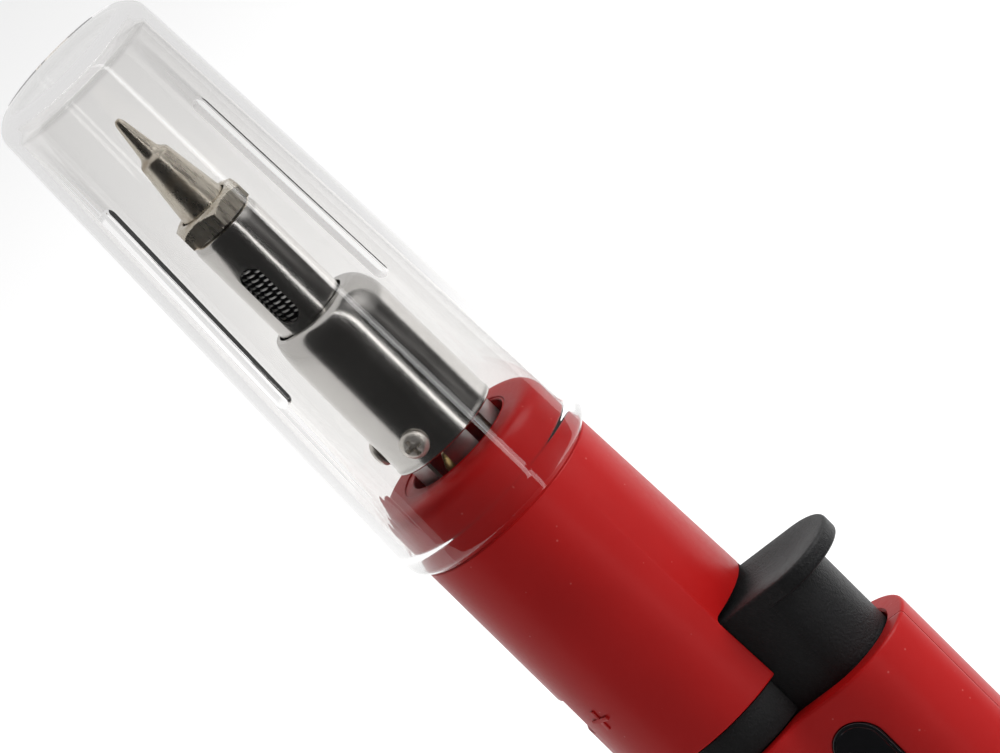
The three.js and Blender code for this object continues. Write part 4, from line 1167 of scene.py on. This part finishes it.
# %% Catalyst gauze
gauze_low, gauze_high = box_mm("catalyst_gauze")
GAUZE_RADIUS = (gauze_high[1] - gauze_low[1]) / 2
GAUZE_WIRE = 0.15
GAUZE_PITCH = 0.74
LOOP_RADIUS = 0.58
gauze_height = gauze_high[2] - gauze_low[2] - 2 * GAUZE_WIRE
sizes = {
    "Ring Radius": (GAUZE_RADIUS - LOOP_RADIUS - GAUZE_WIRE) * MM,
    "Loop Radius": LOOP_RADIUS * MM,
    "Wire": GAUZE_WIRE * MM,
    "Height": gauze_height * MM,
    "Turns": gauze_height / GAUZE_PITCH,
    "Coils": 14,
}
tree = Tree("gauze", sizes)
given = tree.given
loops = wired(tree, spiral(tree, given["Turns"], given["Loop Radius"], given["Height"], 14), given["Wire"], 6)
places = {"Vertices": given["Coils"], "Radius": given["Ring Radius"]}
ring = tree.node("GeometryNodeMeshCircle", None, places)[0]
coils = tree.node("GeometryNodeInstanceOnPoints", None, {"Points": ring, "Instance": loops})[0]
CATALYST_WIRE = catalyst_wire(BURNER_X, GAUZE_RADIUS)
tree.finish(coils, CATALYST_WIRE)
gauze = tree.make("catalyst_gauze")
gauze.data.transform(Matrix.Translation((BURNER_X * MM, 0, (gauze_low[2] + GAUZE_WIRE) * MM)))
settle(smooth(gauze, 60), "catalyst_gauze", material=CATALYST_WIRE)
# Painted shade: a near-black solid inside the gauze darkens what shows between its wires.
shade_core = turned("catalyst_core", [
    (0, gauze_low[2] + 0.1), (GAUZE_RADIUS - 1.6, gauze_low[2] + 0.1, 0.2),
    (GAUZE_RADIUS - 1.6, gauze_high[2] - 0.1, 0.2), (0, gauze_high[2] - 0.1),
], BURNER_X, count=64)
shade_core.data.materials.append(FINISHES["rubber"])
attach(smooth(shade_core), body_of["catalyst_gauze"])

# %% [markdown]
# ## Screws with Geometry Nodes
# All six screws are the same kind: a pan head with a cross recess. One is made at the origin at its head's
# size, and a node tree sets a copy on each point, turned along that point's own direction, with a Size input
# of 1 as the scale. The points and directions come from the CAD screws' boxes.

# %% Screws
SCREW_STEEL = screw_steel()
SHELL_HEAD = 1.3                  # thickness of a shell screw's head


def pan_screw(name, head, thick, shank, length):
    """A cross-recess pan-head screw along +Z, with its seat at z = 0."""
    screw = turned(name, [
        (0, -length), (shank * 0.6, -length, 0.1), (shank, -length + 0.6, 0.1), (shank, 0),
        (head, 0, 0.08), (head, thick * 0.45, 0.25), (head * 0.75, thick * 0.9, 0.4), (0, thick),
    ], count=48)
    flat = Matrix.Identity(4)
    arms = [rectangle(head * 1.25, head * 0.36, 0.06), rectangle(head * 0.36, head * 1.25, 0.06)]
    for arm in arms:
        combine(screw, prism("arm", arm, flat, thick * 0.1, thick + 1))
    return smooth(soften_edges(screw, 0.05, 40), 30)


def shield_seat(node):
    """A shield screw's seat on the rim, and the way it points."""
    low, high = box_mm(node)
    middle = (low + high) / 2
    direction = Vector((middle[0] - SHIELD_X, middle[1], 0)).normalized()
    return Vector((SHIELD_X, 0, middle[2])) + direction * (SHIELD_RIM_RADIUS + 0.02), direction


def shell_seat(node):
    """A shell screw's seat in its pocket; all three point to +Y."""
    low, high = box_mm(node)
    middle = (low + high) / 2
    return Vector((middle[0], high[1] - SHELL_HEAD, middle[2])), Vector((0, 1, 0))


def screw_set(name, nodes, seat_of, head, thick, shank, length):
    """Copies of one screw on the CAD screws' seats, as one piece."""
    points, directions = [], []
    for node in nodes:
        seat, direction = seat_of(node)
        points.append(seat * MM)
        directions.append(direction)
    mesh = bpy.data.meshes.new(name)
    mesh.from_pydata([tuple(point) for point in points], [], [])
    facing = mesh.attributes.new("facing", "FLOAT_VECTOR", "POINT")
    facing.data.foreach_set("vector", [value for direction in directions for value in direction])
    model = pan_screw("screw_model", head, thick, shank, length)
    tree = Tree(name, {"Size": 1.0})
    aim = tree.node("GeometryNodeInputNamedAttribute", {"data_type": "FLOAT_VECTOR"}, {"Name": "facing"})[0]
    turn = tree.node("FunctionNodeAlignEulerToVector", {"axis": "Z"}, {"Vector": aim})[0]
    shape = tree.node("GeometryNodeObjectInfo", None, {"Object": model})["Geometry"]
    given = tree.given
    values = {"Points": given["Geometry"], "Instance": shape, "Rotation": turn, "Scale": given["Size"]}
    tree.finish(tree.node("GeometryNodeInstanceOnPoints", None, values)[0], SCREW_STEEL)
    made = tree.make(name, mesh)
    bpy.data.objects.remove(model)
    return settle(smooth(made, 30), *nodes, material=SCREW_STEEL)


SHIELD_SCREWS = [f"shield_screw_{i}" for i in (1, 2, 3)]
SHELL_SCREWS = [f"shell_screw_{i}" for i in (1, 2, 3)]
screw_set("shield_screws", SHIELD_SCREWS, shield_seat, 1.8, 0.95, 1.0, 2.4)
screw_set("shell_screws", SHELL_SCREWS, shell_seat, 1.7, SHELL_HEAD, 1.2, 9.5)

# %% [markdown]
# ## The pieces inside
# The gas line, the valve, the lever and the igniter already have their true shape in the CAD model. A copy of
# each is merged and shaded smooth, and most have their edges rounded a little, because loose flat triangles
# never look like machined metal.

# %% Inner pieces


def refined(node, edge=0.12, angle=38):
    """A CAD node's own shape, merged, with soft edges unless edge is 0, and smooth shading."""
    mesh = frame["nodes"][node].data.copy()
    piece = bpy.data.objects.new(node + "_fine", mesh)
    bpy.context.scene.collection.objects.link(piece)
    merged = bmesh.new()
    merged.from_mesh(mesh)
    bmesh.ops.remove_doubles(merged, verts=merged.verts, dist=2e-6)
    bmesh.ops.dissolve_limit(merged, angle_limit=0.01, verts=merged.verts, edges=merged.edges)
    merged.to_mesh(mesh)
    merged.free()
    if edge:
        soften_edges(piece, edge, angle)
    return settle(smooth(piece, angle), node)


EDGES = {
    "chassis": 0.2, "flow_adjuster": 0.15, "burner_plate": 0.1, "igniter_insulator": 0,
    "igniter_electrode": 0, "igniter_lead": 0, "jet_holder": 0.12, "gas_jet": 0.1,
    "flow_regulator": 0.15, "gas_tube": 0.1, "valve_body": 0.15, "valve_stem": 0.1,
    "valve_lever": 0.12, "lever_pin": 0.1, "piezo_body": 0.3, "piezo_plunger": 0.2,
    "fuel_tank": 0.3, "tank_seal": 0, "refill_valve": 0.12, "refill_seal": 0, "refill_stem": 0.1,
}
fine = {node: refined(node, edge) for node, edge in EDGES.items()}
shorten(fine["gas_tube"], "gas_tube", "stem_lift")

# %% [markdown]
# ## Floor and light
# A plain pale floor runs far behind the torch, so it is also the background. The light is a bright even
# sky with a large soft box on the trigger side and a narrow strip beside the camera. Dark cards on the
# camera's side are seen only by reflections: polished tube is lit by what it mirrors, and the dark
# between the lights is what gives it its deep bands.

# %% Floor and lights


def panel(name, width, height, centre, energy):
    """An area light that faces the torch."""
    light = bpy.data.lights.new(name, "AREA")
    light.shape = "RECTANGLE"
    light.size = width
    light.size_y = height
    light.energy = energy
    lamp = bpy.data.objects.new(name, light)
    bpy.context.scene.collection.objects.link(lamp)
    lamp.location = centre
    aim = Vector((0, 0, 0.15)) - Vector(centre)
    lamp.rotation_euler = aim.to_track_quat("-Z", "Y").to_euler()
    return lamp


def direction(azimuth, elevation, distance):
    """A place round the torch; azimuth 0 is on the -Y side and +90 on the +X side."""
    a, e = math.radians(azimuth), math.radians(elevation)
    flat = distance * math.cos(e)
    return (flat * math.sin(a), -flat * math.cos(a), 0.15 + distance * math.sin(e))


floor_finish = Finish("floor", (0.9, 0.9, 0.9), 0.7)
patches = floor_finish.noise(3, 2)
floor_finish.set("Base Color", floor_finish.mix(patches, (0.68, 0.68, 0.68), (0.71, 0.71, 0.71)))
floor_finish.set("Emission Color", (1, 1, 1, 1))
floor_finish.set("Emission Strength", 0.54)
FLOOR = 6000
floor = skin("floor", [[(-FLOOR, -FLOOR, -1), (FLOOR, -FLOOR, -1), (FLOOR, FLOOR, -1), (-FLOOR, FLOOR, -1)],
                       [(-FLOOR, -FLOOR, 0), (FLOOR, -FLOOR, 0), (FLOOR, FLOOR, 0), (-FLOOR, FLOOR, 0)]])
floor.data.materials.append(floor_finish.material)
floor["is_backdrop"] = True

camera_side = math.degrees(VIEW_AZIMUTH)
panel("key_softbox", 0.7, 1.1, direction(camera_side + 78, 24, 1.3), 19)
panel("back_light", 0.9, 0.5, direction(camera_side + 180, 50, 1.2), 7).visible_glossy = False


def mirror_only(card, material):
    """Makes a piece of the studio that only reflections see."""
    card.data.materials.append(material)
    for ray in ("visible_camera", "visible_diffuse", "visible_shadow", "visible_transmission"):
        setattr(card, ray, False)
    card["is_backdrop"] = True


def standing_card(name, first, last, radius, top, material):
    """A curved card round the torch, between two turns from the camera."""
    turns = np.radians(np.linspace(first, last, 30) + camera_side)
    arc = [(radius * math.sin(a), -radius * math.cos(a)) for a in turns]
    arc += [((radius + 3) * math.sin(a), -(radius + 3) * math.cos(a)) for a in turns[::-1]]
    mirror_only(skin(name, [at_height(arc, 1), at_height(arc, top)]), material)


dark = Finish("dark_card", (0.01, 0.01, 0.01), 1.0)
dark.set("Roughness", 0.9 + 0.1 * dark.noise(2, 1))
bright = Finish("bright_card", (0.9, 0.9, 0.9), 1.0, emission_strength=3.4)
bright.set("Emission Color", bright.mix(bright.noise(2, 1), (1, 1, 1), (0.95, 0.95, 0.95)))
CARD_RADIUS = 380
CARD_TOP = 900
DARK_FROM, DARK_TO = -74, 106
standing_card("dark_card", DARK_FROM, DARK_TO, CARD_RADIUS, CARD_TOP, dark.material)
standing_card("strip_card", 29, 33, 360, CARD_TOP, bright.material)
turns = np.radians(np.linspace(DARK_FROM, DARK_TO, 40) + camera_side)
mat_outline = [(CARD_RADIUS * math.sin(a), -CARD_RADIUS * math.cos(a)) for a in turns]
mat_outline += [(22 * math.sin(a), -22 * math.cos(a)) for a in turns[::-1]]
mirror_only(skin("dark_mat", [at_height(mat_outline, 0.4), at_height(mat_outline, 0.9)]), dark.material)

world = bpy.data.worlds.new("studio")
world.use_nodes = True
nodes, links = world.node_tree.nodes, world.node_tree.links
sky = nodes["Background"]
sky.inputs["Strength"].default_value = 0.8
soft_sky = nodes.new("ShaderNodeBackground")
soft_sky.inputs["Strength"].default_value = 0.25
for background in (sky, soft_sky):
    background.inputs["Color"].default_value = (1, 1, 1, 1)
mixed = nodes.new("ShaderNodeMixShader")
links.new(nodes.new("ShaderNodeLightPath").outputs["Is Diffuse Ray"], mixed.inputs[0])
links.new(sky.outputs[0], mixed.inputs[1])
links.new(soft_sky.outputs[0], mixed.inputs[2])
links.new(mixed.outputs[0], nodes["World Output"].inputs["Surface"])
bpy.context.scene.world = world
bpy.context.scene.view_settings.view_transform = "Standard"

# %% Sizes
visual_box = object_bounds()
sizes = {"cad": [list(corner) for corner in cad_box], "visual": [list(corner) for corner in visual_box]}
print("CAD box:", sizes["cad"])
print("visual box:", sizes["visual"])
